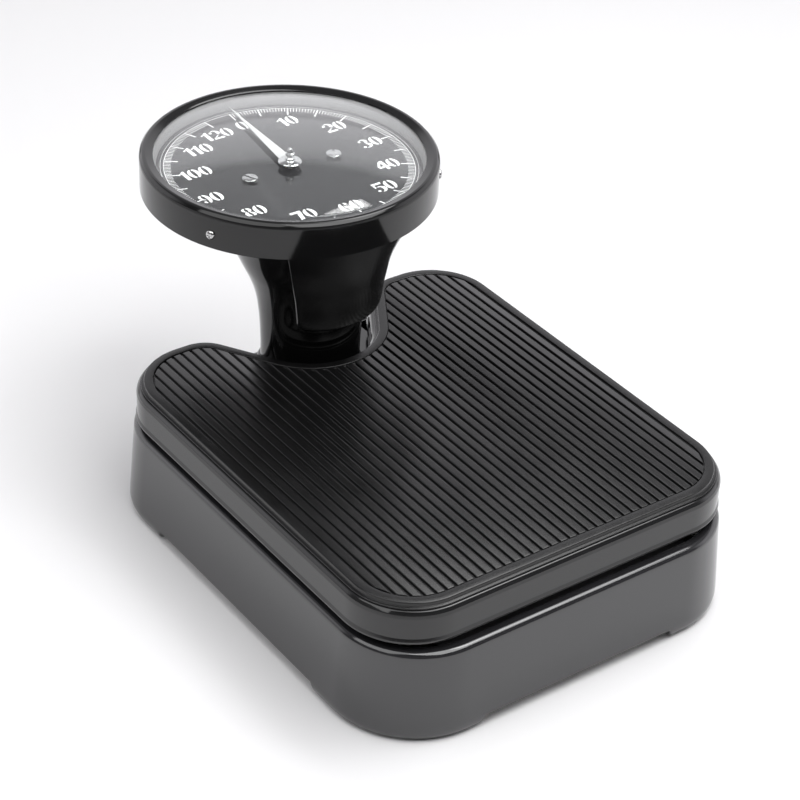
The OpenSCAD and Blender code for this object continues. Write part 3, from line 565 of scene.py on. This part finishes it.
# floor sheet with rolled edge and beads
g = Mesh()
ol = base_outline(4.5, [-60, 0, 60], [-80, 0, 80])
prof = fillet([(20, 9.4), (58.2, 9.4, 0.5), (58.2, 11, 0.5), (20, 11)], 3, closed=False)
rows = sweep(g, ol, prof, closed_prof=False)
g.add([r[0] for r in rows], [list(range(len(rows)))])
g.add([r[-1] for r in rows], [list(range(len(rows)))])
for x in (-60, 0, 60):
    rbox(g, x - 4, x + 4, -110, 50, 10.9, 12.6, 0.8)
g.build("floor_sheet", [M["zinc_steel"]], "base", ["base_plate"])

# rubber pads, slightly crowned
g = Mesh()
for k, (sx, sy, a0) in enumerate([(1, 1, 0), (-1, 1, 90), (-1, -1, 180), (1, -1, 270)]):
    for a in (22, 45, 68):
        w = math.radians(a0 + a)
        tube(g, [(0, 3.2), (4.0, 3.2), (4.0, 1.0), (3.7, 0.35), (3.1, 0.0), (0, 0.0)], (sx * BC[0] + 54 * math.cos(w), sy * BC[1] + 54 * math.sin(w), 0), (0, 0, 1), 32)
g.build("foot_pads", [M["foot_rubber"]], "base", ["rubber_feet"])

# ---------------------------------------------------------------- platform pan
g = Mesh()
outer = fillet([
    (3.4, 73.0, 0.0), (5.6, 73.0, 0.9), (6.0, 75.0, 0.9), (5.15, 77.2, 0.7), (5.2, 92.3, 1.0),
    (4.5, 94.6, 1.6), (2.9, 96.7, 1.5), (0.4, 97.0, 1.5), (-12, 97.0)], 6, closed=False)
inner = fillet([(-12, 95.4), (0.2, 95.4, 1.0), (3.3, 93.6, 2.0), (3.6, 77.0, 1.0), (3.5, 74.5, 0.3), (3.4, 73.0)], 5, closed=False)[:-1]
rows = sweep(g, DECK, outer + inner, closed_prof=False)
# close the loop under the lip, then the two flat skins
n = len(DECK)
lo_row = [r[-1] for r in rows]
st_row = [r[0] for r in rows]
g.grid([[a, b2] for a, b2 in zip(lo_row, st_row)], close_u=True)
k = outer.index((-12, 97.0))
g.add([r[k] for r in rows], [list(range(n))])
g.add([r[k + 1] for r in rows], [list(range(n))])
g.build("pan_shell", [M["pan_enamel"]], "platform", ["platform_pan"], sharp=34)

# ---------------------------------------------------------------- mat
TREAD = 101.1
FLOOR_Z = 99.75
g = Mesh()
prof = fillet([
    (-12, 97.03), (2.0, 97.03, 0.15), (2.05, 98.15, 0.35), (0.35, 98.35, 0.45), (0.0, 101.1, 0.75), (-6.1, 101.1, 0.45), (-6.35, FLOOR_Z, 0.3), (-8.5, FLOOR_Z)], 5, closed=False)
rows = sweep(g, DECK, prof, closed_prof=False)
g.add([r[0] for r in rows], [list(range(n))])
g.add([r[-1] for r in rows], [list(range(n))])


def crossings(x, d):
    """y values where the line at x cuts the outline moved outward by d."""
    pts = [(a + d * p, b2 + d * q) for a, b2, p, q in DECK]
    ys = []
    for i in range(len(pts)):
        (x0, y0), (x1, y1) = pts[i], pts[(i + 1) % len(pts)]
        if (x0 <= x < x1) or (x1 <= x < x0):
            ys.append(y0 + (y1 - y0) * (x - x0) / (x1 - x0))
    return sorted(ys)


PITCH, GROOVE = 7.3, 2.0
RIB_D = -6.75
for i in range(-19, 19):
    xa, xb = i * PITCH + GROOVE / 2, (i + 1) * PITCH - GROOVE / 2
    xm = (xa + xb) / 2
    cm = crossings(xm, RIB_D)
    ca, cb = crossings(xa, RIB_D), crossings(xb, RIB_D)
    for j in range(0, len(cm) - 1, 2):
        ends = []
        for e in (0, 1):
            y = cm[j + e]
            ya = min(ca, key=lambda v: abs(v - y)) if ca else y
            yb = min(cb, key=lambda v: abs(v - y)) if cb else y
            if abs(ya - y) > 9:
                ya = y
            if abs(yb - y) > 9:
                yb = y
            ends.append((ya, yb))
        (a0, b0), (a1, b1) = ends
        if min(a1, b1) - max(a0, b0) < 2:
            continue
        w = xb - xa
        # cross-section from the left foot over the crown to the right foot
        half_sec = [(0.0, 0.0), (0.05, 0.75), (0.11, 1.03), (0.22, 1.21), (0.40, 1.32), (0.62, 1.352), (0.85, 1.355)]
        sec = half_sec + [(w / 2, 1.36)] + [(w - q[0], q[1]) for q in reversed(half_sec)]
        rows = []
        for off, hk in ((0.0, 0.0), (0.06, 0.45), (0.2, 0.8), (0.5, 0.96), (0.9, 1.0), (-0.9, 1.0), (-0.5, 0.96), (-0.2, 0.8), (-0.06, 0.45), (0.0, 0.0)):
            row = []
            first = len(rows) < 5
            for sx_, sz_ in sec:
                f = sx_ / w
                y = (a0 + (b0 - a0) * f + abs(off)) if first else (a1 + (b1 - a1) * f - abs(off))
                row.append((xa + sx_, y, FLOOR_Z - 0.02 + sz_ * hk))
            rows.append(row)
        g.grid(rows)
g.build("tread_mat", [M["mat_rubber"]], "platform", ["platform_mat"], sharp=40)

# ---------------------------------------------------------------- column
CY = 135.0
col_pts = [(35.2, 76.0), (35.2, 83), (35.2, 90), (35.6, 100), (36.2, 110), (37.2, 120), (38.8, 130), (41.5, 140), (45.5, 150),
           (49.3, 158), (52.9, 166), (55.5, 172), (58.1, 178), (62.3, 187), (68.0, 198.6)]
hood_pts = [(45.4, 123.2), (46.2, 124.2), (47.1, 125.8), (48.1, 128), (49.4, 132), (50.4, 138), (51.3, 146),
            (52.6, 154), (54.2, 163), (56.6, 171), (59.3, 178), (63.5, 187), (69.1, 198.6)]
col_curve = smooth_curve(col_pts, 4)


def radius_at(curve, z):
    if z <= curve[0][1]:
        return curve[0][0]
    for (r0, z0), (r1, z1) in zip(curve, curve[1:]):
        if z0 <= z <= z1:
            return r0 + (r1 - r0) * (z - z0) / (z1 - z0)
    return curve[-1][0]


g = Mesh()
inner = [(r - 3, z) for r, z in reversed(col_curve)]
prof = [(34.6, 76.05)] + col_curve[1:] + inner
lathe(g, prof, 0, CY, 160)
g.build("column_shell", [M["column_enamel"]], "base", ["column"], sharp=34)

g = Mesh()
hood_curve = smooth_curve(hood_pts, 4)
HB, HT, HW, HC = 123.25, 198.5, 48.4, 9.0
zs = [HB + (HT - HB) * (i / 60) ** 1.6 for i in range(61)]
zs = sorted(set([HB, HB + 0.15, HB + 0.4] + zs))
nu = 72
rows, back_rows = [], []
for z in zs:
    rc = radius_at(col_curve, z)
    rh = radius_at(hood_curve, z)
    s0 = math.radians(HW) * rc
    q = max(0.0, HB + HC - z)
    half = s0 - (HC - math.sqrt(max(0.0, HC * HC - q * q)))
    row, brow = [], []
    for j in range(nu + 1):
        tt = -1 + 2 * j / nu
        tt = math.copysign(1 - (1 - abs(tt)) ** 1.5, tt)
        s = tt * half
        qx, qz = abs(s) - (s0 - HC), HB + HC - z
        sd = math.hypot(max(qx, 0), max(qz, 0)) + min(max(qx, qz), 0) - HC
        dist = max(0.0, -sd)
        re = 5.5
        lift = rh - rc
        k = min(1.0, dist / min(re, max(1.2, lift)))
        f = math.sqrt(max(0.0, 1 - (1 - k) ** 2))
        a = math.radians(270) + s / rc
        r = rc + 0.35 + (lift - 0.35) * f
        row.append((r * math.cos(a), CY + r * math.sin(a), z))
        rb = max(rc + 0.12, r - 2.0)
        brow.append((rb * math.cos(a), CY + rb * math.sin(a), z))
    rows.append(row)
    back_rows.append(brow)
g.grid(rows)
g.grid(back_rows, flip=True)
for A, B in ((rows[0], back_rows[0]), (rows[-1], back_rows[-1]), ([r[0] for r in rows], [r[0] for r in back_rows]), ([r[-1] for r in rows], [r[-1] for r in back_rows])):
    g.grid([A, B])
g.build("column_cover", [M["hood_enamel"]], "base", ["column_hood"], sharp=50)

# ---------------------------------------------------------------- dial head
DY = 164.4
CASE_Z, PLATE_Z, RIM_Z, GT, TOP_Z, BR = 199.0, 213.5, 222.3, 2.7, 227.0, 102.6

# floor and wall of the cup, the floor with its off-centre opening
g = Mesh()
lathe(g, fillet([(95.8, 200.2), (95.8, 199, 0), (96.4, 199, 0.6), (97.8, 199.2, 1.2), (97.8, 221.4, 0.3), (95.8, 221.4, 0.3), (95.8, 201, 0.6)], 4), 0, DY, 160)
rows = []
for i in range(160):
    a = 2 * math.pi * i / 160
    ix, iy = 44 * math.cos(a), DY - 16 + 44 * math.sin(a)
    ox, oy = 96.0 * math.cos(a), DY + 96.0 * math.sin(a)
    rows.append([(ix, iy, 199.0), (ox, oy, 199.0), (ox, oy, 201.0), (ix, iy, 201.0)])
g.grid(rows, close_u=True, close_v=True)
g.build("case_cup", [M["black_gloss"]], "base", ["dial_case"])

g = Mesh()
prof = fillet([
    (98.95, 200.7, 0.3), (BR - 0.4, 200.7, 0.4), (BR, 201.2, 0.3), (BR, 223.2, 0.5), (BR - 0.4, 224.9, 1.2), (BR - 2.2, 226.8, 1.6), (BR - 4.3, 227.0, 1.4),
    (94.4, 225.9, 0.9), (93.1, 225.5, 0.4), (93.1, 225.1, 0.1), (98.95, 225.1, 0.1)], 6)
lathe(g, prof, 0, DY, 224)
g.build("dial_bezel", [M["black_gloss"]], "base", ["bezel"], sharp=30)

# chrome round-head screws in the side of the bezel
g = Mesh()
for a in (86.5, 206.5, 326.5):
    w = math.radians(a)
    d = Vector((math.cos(w), math.sin(w), 0))
    o0 = Vector((0, DY, 211.0)) + d * BR
    tube(g, [(0, -7.2), (1.5, -7.2), (1.5, -0.02), (3.3, -0.02), (3.35, 0.25), (3.3, 0.6), (3.0, 1.15), (2.4, 1.6), (1.9, 1.8), (1.9, 0.9), (0, 0.9)], o0, d, 48)
    # four lands left between the arms of the cross recess
    e1, e2 = Vector((-d.y, d.x, 0)), Vector((0, 0, 1))
    for q in range(4):
        land = []
        for u0, v0 in ((0.42, 0.42), (1.72, 0.42), (1.5, 1.08), (1.08, 1.5), (0.42, 1.72)):
            ru, rv = u0 * math.cos(math.radians(90 * q)) - v0 * math.sin(math.radians(90 * q)), u0 * math.sin(math.radians(90 * q)) + v0 * math.cos(math.radians(90 * q))
            land.append((ru, rv, 1.98 - 0.1 * math.hypot(u0, v0)))
        lo = [tuple(o0 + e1 * u + e2 * v + d * 0.8) for u, v, h in land]
        hi = [tuple(o0 + e1 * u + e2 * v + d * h) for u, v, h in land]
        g.add(lo + hi, [[5, 6, 7, 8, 9], [4, 3, 2, 1, 0]] + [[j, (j + 1) % 5, 5 + (j + 1) % 5, 5 + j] for j in range(5)])
g.build("bezel_round_screws", [M["chrome_screw"]], "base", ["bezel_screws"], sharp=40)

# domed glass
g = Mesh()
RR, RISE = 92.6, 10.0
R = (RR * RR + RISE * RISE) / (2 * RISE)
zc = RIM_Z + GT + RISE - R
am = math.asin(RR / R)
NG = 22
outer = [(R * math.sin(am * i / NG), zc + R * math.cos(am * i / NG)) for i in range(NG + 1)]
inner = [((R - GT) * math.sin(am * i / NG), zc + (R - GT) * math.cos(am * i / NG)) for i in range(NG, -1, -1)]
prof = outer + fillet([(92.6, 225.0), (97.4, RIM_Z + GT, 0.5), (97.4, RIM_Z, 0.5), (inner[0][0], RIM_Z)], 3, closed=False)[1:-1] + inner
lathe(g, prof, 0, DY, 160, closed=False)
window = g.build("dial_window", [M["dial_glass"]], "base", ["glass"], sharp=40)
window.visible_shadow = False

g = Mesh()
lathe(g, fillet([(93.5, 221.42, 0.2), (97.7, 221.42, 0.2), (97.7, 222.28, 0.2), (93.5, 222.28, 0.2)], 3), 0, DY, 128)
g.build("window_seal", [M["seal_rubber"]], "base", ["gasket"])

g = Mesh()
lathe(g, fillet([(91.05, PLATE_Z + 0.1, 0.15), (95.3, PLATE_Z + 0.1, 0.2), (95.3, 221.2, 0.3), (92.85, 221.2, 0.4)], 4), 0, DY, 160)
g.build("white_bevel_ring", [M["white_ring"]], "base", ["reflector_ring"])

# dial plate
g = Mesh()
prof = [(3.5, PLATE_Z - 1), (3.5, PLATE_Z - 0.1), (3.6, PLATE_Z), (95.1, PLATE_Z), (95.2, PLATE_Z - 0.1), (95.2, PLATE_Z - 1)]
lathe(g, prof, 0, DY, 160)
g.build("dial_face", [M["dial_black"]], "base", ["dial_plate"])

# ---------------------------------------------------------------- printed scale
INK0, INK1 = PLATE_Z, PLATE_Z + 0.05
g = Mesh()


def flat(poly, mi=0):
    """A printed patch: a thin plate with its own edge."""
    k = len(poly)
    g.add([(x, DY + y, INK0) for x, y in poly] + [(x, DY + y, INK1) for x, y in poly],
          [list(range(k, 2 * k)), list(reversed(range(k)))] + [[i, (i + 1) % k, k + (i + 1) % k, k + i] for i in range(k)], mi)


def ring(r0, r1, seg=240):
    rows = []
    for i in range(seg):
        a = 2 * math.pi * i / seg
        c, s = math.cos(a), math.sin(a)
        rows.append([(r0 * c, DY + r0 * s, INK0), (r1 * c, DY + r1 * s, INK0), (r1 * c, DY + r1 * s, INK1), (r0 * c, DY + r0 * s, INK1)])
    g.grid(rows, close_u=True, close_v=True)


KG, A0 = 2.88, 3.4       # degrees for a kilogram, and the angle of the zero mark
ring(85.6, 86.0)
ring(88.0, 88.25)
for i in range(0, 241):
    kg = i * 0.5
    a = math.radians(90 - A0 - kg * KG)
    long = i % 10 == 0
    r0, w = (76.2, 1.0) if long else (80.9, 0.48)
    c, s = math.cos(a), math.sin(a)
    flat([(r0 * c + s * w / 2, r0 * s - c * w / 2), (85.7 * c + s * w / 2, 85.7 * s - c * w / 2), (85.7 * c - s * w / 2, 85.7 * s + c * w / 2), (r0 * c - s * w / 2, r0 * s + c * w / 2)])

H, DW = 12.4, 8.2


def crescent(cx, cy, ro, rho, ri, rhi, a0, a1, shift=0.0, n=16):
    """Thick in the middle and thin at its ends: the space between two ellipse arcs."""
    o = [(cx + ro * math.cos(math.radians(a0 + (a1 - a0) * i / n)), cy + rho * math.sin(math.radians(a0 + (a1 - a0) * i / n))) for i in range(n + 1)]
    q = [(cx + shift + ri * math.cos(math.radians(a0 + (a1 - a0) * i / n)), cy + rhi * math.sin(math.radians(a0 + (a1 - a0) * i / n))) for i in range(n + 1)]
    return o + q[::-1]


def digit(ch):
    """Filled outlines of a bold stencil figure with heavy sides and thin joins, origin at its middle."""
    w, h = DW / 2, H / 2
    if ch == "0":
        return [crescent(0, 0, w, h, w - 2.7, h - 0.8, -80, 72), crescent(0, 0, w, h, w - 2.7, h - 0.8, 100, 252)]
    if ch == "1":
        return [[(-0.7, -h), (2.1, -h), (2.1, h), (0.9, h), (-0.7, h - 1.3)], [(-3.3, h - 3.1), (-2.9, h - 4.2), (-1.2, h - 3.0), (-1.2, h - 1.7)]]
    if ch == "2":
        return [crescent(0.1, h - 3.6, w - 0.1, 3.6, w - 2.7, 2.8, -38, 118), [(-w + 0.3, h - 2.5), (-w + 0.9, h - 1.5), (-w + 2.2, h - 1.3), (-w + 2.9, h - 2.4), (-w + 2.2, h - 3.7), (-w + 0.9, h - 3.8)],
                [(2.3, h - 6.3), (3.3, h - 5.4), (-1.0, -h + 2.7), (-w, -h + 2.5), (-w, -h + 1.7)], [(-w, -h), (w, -h), (w, -h + 2.1), (-w + 0.6, -h + 2.1)]]
    if ch == "3":
        return [crescent(-0.2, h - 3.1, w - 0.5, 3.1, w - 3.0, 2.3, -70, 112), crescent(-0.2, -h + 3.3, w + 0.1, 3.3, w - 2.6, 2.4, -112, 74),
                [(-w + 0.4, h - 2.2), (-w + 1.2, h - 1.2), (-w + 2.5, h - 1.4), (-w + 2.7, h - 3.0), (-w + 1.3, h - 3.6)], [(-w + 0.1, -h + 2.2), (-w + 1.3, -h + 3.4), (-w + 2.6, -h + 2.6), (-w + 2.3, -h + 1.1), (-w + 1.0, -h + 0.9)]]
    if ch == "4":
        return [[(0.5, -h), (3.0, -h), (3.0, h - 0.2), (0.5, h - 0.2)], [(-w - 0.3, -h + 3.0), (0.0, -h + 3.0), (0.0, -h + 4.9), (-w + 1.0, -h + 4.9)],
                [(-w - 0.3, -h + 5.2), (-w + 1.8, -h + 5.2), (0.0, h - 3.3), (0.0, h - 0.2)], [(3.4, -h + 3.0), (w + 0.7, -h + 3.0), (w + 0.7, -h + 4.9), (3.4, -h + 4.9)]]
    if ch == "5":
        return [[(-w + 0.6, h - 2.2), (w - 0.4, h - 2.2), (w, h), (-w + 0.6, h)], [(-w + 0.6, h - 2.6), (-w + 2.0, h - 2.6), (-w + 2.0, 0.4), (-w + 0.6, -0.3)],
                crescent(0.0, -h + 3.9, w, 3.9, w - 2.7, 3.0, -100, 112), [(-w + 0.1, -h + 2.2), (-w + 1.3, -h + 3.4), (-w + 2.6, -h + 2.6), (-w + 2.2, -h + 1.1), (-w + 1.0, -h + 0.9)]]
    if ch == "6":
        return [crescent(0.1, 0, w, h, w - 2.7, h - 0.9, 112, 262), crescent(0.1, -h + 3.7, w - 0.2, 3.7, w - 2.7, 2.8, -72, 96), [(1.0, h - 0.3), (2.4, h - 0.6), (3.6, h - 1.7), (2.9, h - 3.1), (1.6, h - 3.0)]]
    if ch == "7":
        return [[(-w, h - 2.3), (w, h - 2.3), (w, h), (-w + 0.3, h)], [(0.9, h - 2.8), (w, h - 2.8), (1.0, -h), (-2.0, -h)]]
    if ch == "8":
        return [crescent(0, h - 3.0, w - 0.6, 3.0, w - 2.9, 2.2, -66, 70), crescent(0, h - 3.0, w - 0.6, 3.0, w - 2.9, 2.2, 98, 246),
                crescent(0, -h + 3.35, w, 3.35, w - 2.7, 2.5, -78, 66), crescent(0, -h + 3.35, w, 3.35, w - 2.7, 2.5, 110, 252)]
    if ch == "9":
        return [[(-x, -y) for x, y in q] for q in digit("6")]
    return []


ADV = {"1": 5.9}
SHIFT = {120: (-4.8, -1.1), 110: (2.1, 0.5), 100: (2.6, 0.1), 90: (-2.5, -1.1), 50: (3.4, 0.0)}
for k in range(13):
    text = str(10 * k)
    a = math.radians(90 - A0 - 10 * k * KG)
    rr = 67.0
    ex, ey = SHIFT.get(10 * k, (0.0, 0.0))
    cx, cy2 = rr * math.cos(a) + ex, rr * math.sin(a) + ey
    widths = [ADV.get(ch, DW + 0.45) for ch in text]
    x = cx - sum(widths) / 2
    for ch, wd in zip(text, widths):
        for pts in digit(ch):
            flat([(x + wd / 2 + px, cy2 + py) for px, py in pts])
        x += wd
g.build("dial_print", [M["dial_ink"]], "base", [], sharp=30, merge=0)

# ---------------------------------------------------------------- pointer, hub and dial screws
g = Mesh()
zt = PLATE_Z + 2.9
half = [(0, 4.6), (8, 4.2), (30, 3.1), (66, 1.2), (89.3, 0.12), (90, 0.02)]
rows = []
for y, w in half:
    h = 0.6
    rows.append([(-w, DY + y, zt + 0.08), (-w * 0.92, DY + y, zt), (w * 0.92, DY + y, zt), (w, DY + y, zt + 0.08), (w, DY + y, zt + h - 0.15), (w * 0.85, DY + y, zt + h), (0, DY + y, zt + h + 0.02), (-w * 0.85, DY + y, zt + h), (-w, DY + y, zt + h - 0.15)])
g.grid(rows, close_v=True)
g.add(rows[0], [list(range(9))])
g.add(rows[-1], [list(range(9))])
ca, sa = math.cos(math.radians(-4.9)), math.sin(math.radians(-4.9))
g.v = [(x * ca - (y - DY) * sa, DY + x * sa + (y - DY) * ca, z) for x, y, z in g.v]
g.build("needle", [M["pointer_paint"]], "pointer", ["pointer"], sharp=40)

g = Mesh()
Z = PLATE_Z
prof = [(0, Z + 2.4), (5.0, Z + 2.4), (5.2, Z + 2.6), (5.2, Z + 3.52)] + fillet([(5.2, Z + 3.52), (8.2, Z + 3.52, 0.15), (8.2, Z + 4.1, 0.2), (7.5, Z + 4.6, 0.4), (3.7, Z + 5.0, 0.3), (3.3, Z + 5.5, 0.4), (3.3, Z + 6.4, 0.4),
        (2.3, Z + 7.4, 0.5), (2.2, Z + 8.1, 0.3), (3.3, Z + 8.9, 0.3), (3.35, Z + 10.0, 0.3), (2.1, Z + 10.5, 0.3), (2.0, Z + 12.2, 0.6), (1.3, Z + 13.5, 0.6), (0, Z + 13.95)], 5, closed=False)[1:]
lathe(g, prof, 0, DY, 64, closed=False)
g.build("spindle_hub", [M["hub_chrome"]], "pointer", ["pointer_hub"], sharp=40)

# slotted cheese-head screws with the slot cut as geometry
g = Mesh()
for s, ang in ((-1, 115), (1, 60)):
    cx, cy2 = s * 34.0, DY - 3
    ca, sa = math.cos(math.radians(ang)), math.sin(math.radians(ang))
    RH, SLOT, SD, HT2 = 5.5, 0.8, 1.5, 2.5
    # head as two halves either side of the slot
    for side in (-1, 1):
        a_lim = math.asin(SLOT / RH)
        arc_ = [(RH * math.cos(a_lim + (math.pi - 2 * a_lim) * i / 24), RH * math.sin(a_lim + (math.pi - 2 * a_lim) * i / 24)) for i in range(25)]
        prof_z = [(1.0, HT2 - SD), (1.0, HT2 - 0.55), (0.965, HT2 - 0.22), (0.90, HT2 - 0.04), (0.86, HT2)]
        rows = []
        for k, z in prof_z:
            row = []
            for x, y in arc_:
                yy = max(SLOT, y * k)
                row.append((x * k, side * yy))
            rows.append([(cx + px * ca - py * sa, cy2 + px * sa + py * ca, PLATE_Z + z) for px, py in row])
        g.grid(rows, close_v=True)
        g.add(rows[-1], [list(range(25))])
    body = [(0, HT2 - SD), (RH, HT2 - SD), (RH, 0.15), (RH - 0.15, 0.0), (1.95, 0.0), (1.95, -8.0), (0, -8.0)]
    tube(g, body, (cx, cy2, PLATE_Z), (0, 0, 1), 64)
g.build("dial_slot_screws", [M["chrome_screw"]], "base", ["dial_screws"], sharp=35, merge=1e-4)

# ---------------------------------------------------------------- pieces kept from the frame
slot_of = {s["node"]: s["material_slot"] for s in frame["record"]["subparts"]}
for name, o in frame["nodes"].items():
    if o.hide_render:
        continue
    mat = M[slot_of[name]]
    o.data.materials.clear()
    o.data.materials.append(mat)
    for poly in o.data.polygons:
        poly.material_index = 0

# ---------------------------------------------------------------- floor and light
me = bpy.data.meshes.new("floor")
S = 9.0
me.from_pydata([(-S, -S, 0), (S, -S, 0), (S, S, 0), (-S, S, 0)], [], [[0, 1, 2, 3]])
floor = bpy.data.objects.new("floor", me)
bpy.context.scene.collection.objects.link(floor)
m, t, b, c = new_mat("floor_white")
n0 = noise(t, c, 0.9, 2, 0.5)
t.links.new(ramp(t, n0.outputs["Fac"], [(0.3, (0.83, 0.827, 0.834)), (0.7, (0.85, 0.847, 0.854))]), b.inputs["Base Color"])
t.links.new(span(t, noise(t, c, 3, 2, 0.5).outputs["Fac"], 0.5, 0.6), b.inputs["Roughness"])
b.inputs["Specular IOR Level"].default_value = 0.3
me.materials.append(m)
floor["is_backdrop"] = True

world = bpy.data.worlds.new("studio")
bpy.context.scene.world = world
bpy.context.scene.view_settings.view_transform = "Standard"
world.use_nodes = True
wt = world.node_tree
bg = wt.nodes["Background"]
# a pale backdrop behind the scale, a dim ceiling and a dark room on the near side
wc = wt.nodes.new("ShaderNodeTexCoord")
wx = wt.nodes.new("ShaderNodeSeparateXYZ")
wt.links.new(wc.outputs["Generated"], wx.inputs["Vector"])
wall = ramp(wt, wx.outputs["Z"], [(0.0, (0.72, 0.712, 0.737)), (0.30, (0.68, 0.672, 0.696)), (0.51, (0.63, 0.622, 0.645)), (0.555, (0.52, 0.515, 0.532)), (0.60, (0.16, 0.158, 0.165)), (1.0, (0.11, 0.109, 0.115))])
side = wt.nodes.new("ShaderNodeVectorMath")
side.operation = "DOT_PRODUCT"
side.inputs[1].default_value = (0.61, 0.79, 0.0)
wt.links.new(wc.outputs["Generated"], side.inputs[0])
near = span(wt, side.outputs["Value"], 0.10, 1.0, -0.10, 0.15)
dim = wt.nodes.new("ShaderNodeVectorMath")
dim.operation = "SCALE"
wt.links.new(wall, dim.inputs[0])
wt.links.new(near, dim.inputs["Scale"])
wt.links.new(dim.outputs["Vector"], bg.inputs["Color"])
bg.inputs["Strength"].default_value = 1.75


def softbox(name, loc, target, size, power, color=(1, 1, 1)):
    d = bpy.data.lights.new(name, "AREA")
    d.shape = "RECTANGLE"
    d.size, d.size_y = size
    d.energy = power
    d.color = color
    o = bpy.data.objects.new(name, d)
    bpy.context.scene.collection.objects.link(o)
    o.location = loc
    v = Vector(loc) - Vector(target)
    o.rotation_mode = "QUATERNION"
    o.rotation_quaternion = v.to_track_quat("Z", "Y")
    return o


# a strip softbox high on the right, a broad one over the heel end and a fainter one over the left
softbox("key_right", (0.772, 0.121, 1.62), (-0.004, -0.016, 0.226), (1.46, 0.62), 13)
softbox("top_front", (0.35, -0.95, 2.0), (0.0, -0.3, 0), (1.9, 1.4), 33)
softbox("top_left", (-1.35, -0.1, 2.0), (-0.3, 0, 0), (1.9, 2.2), 26)

lo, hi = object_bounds()
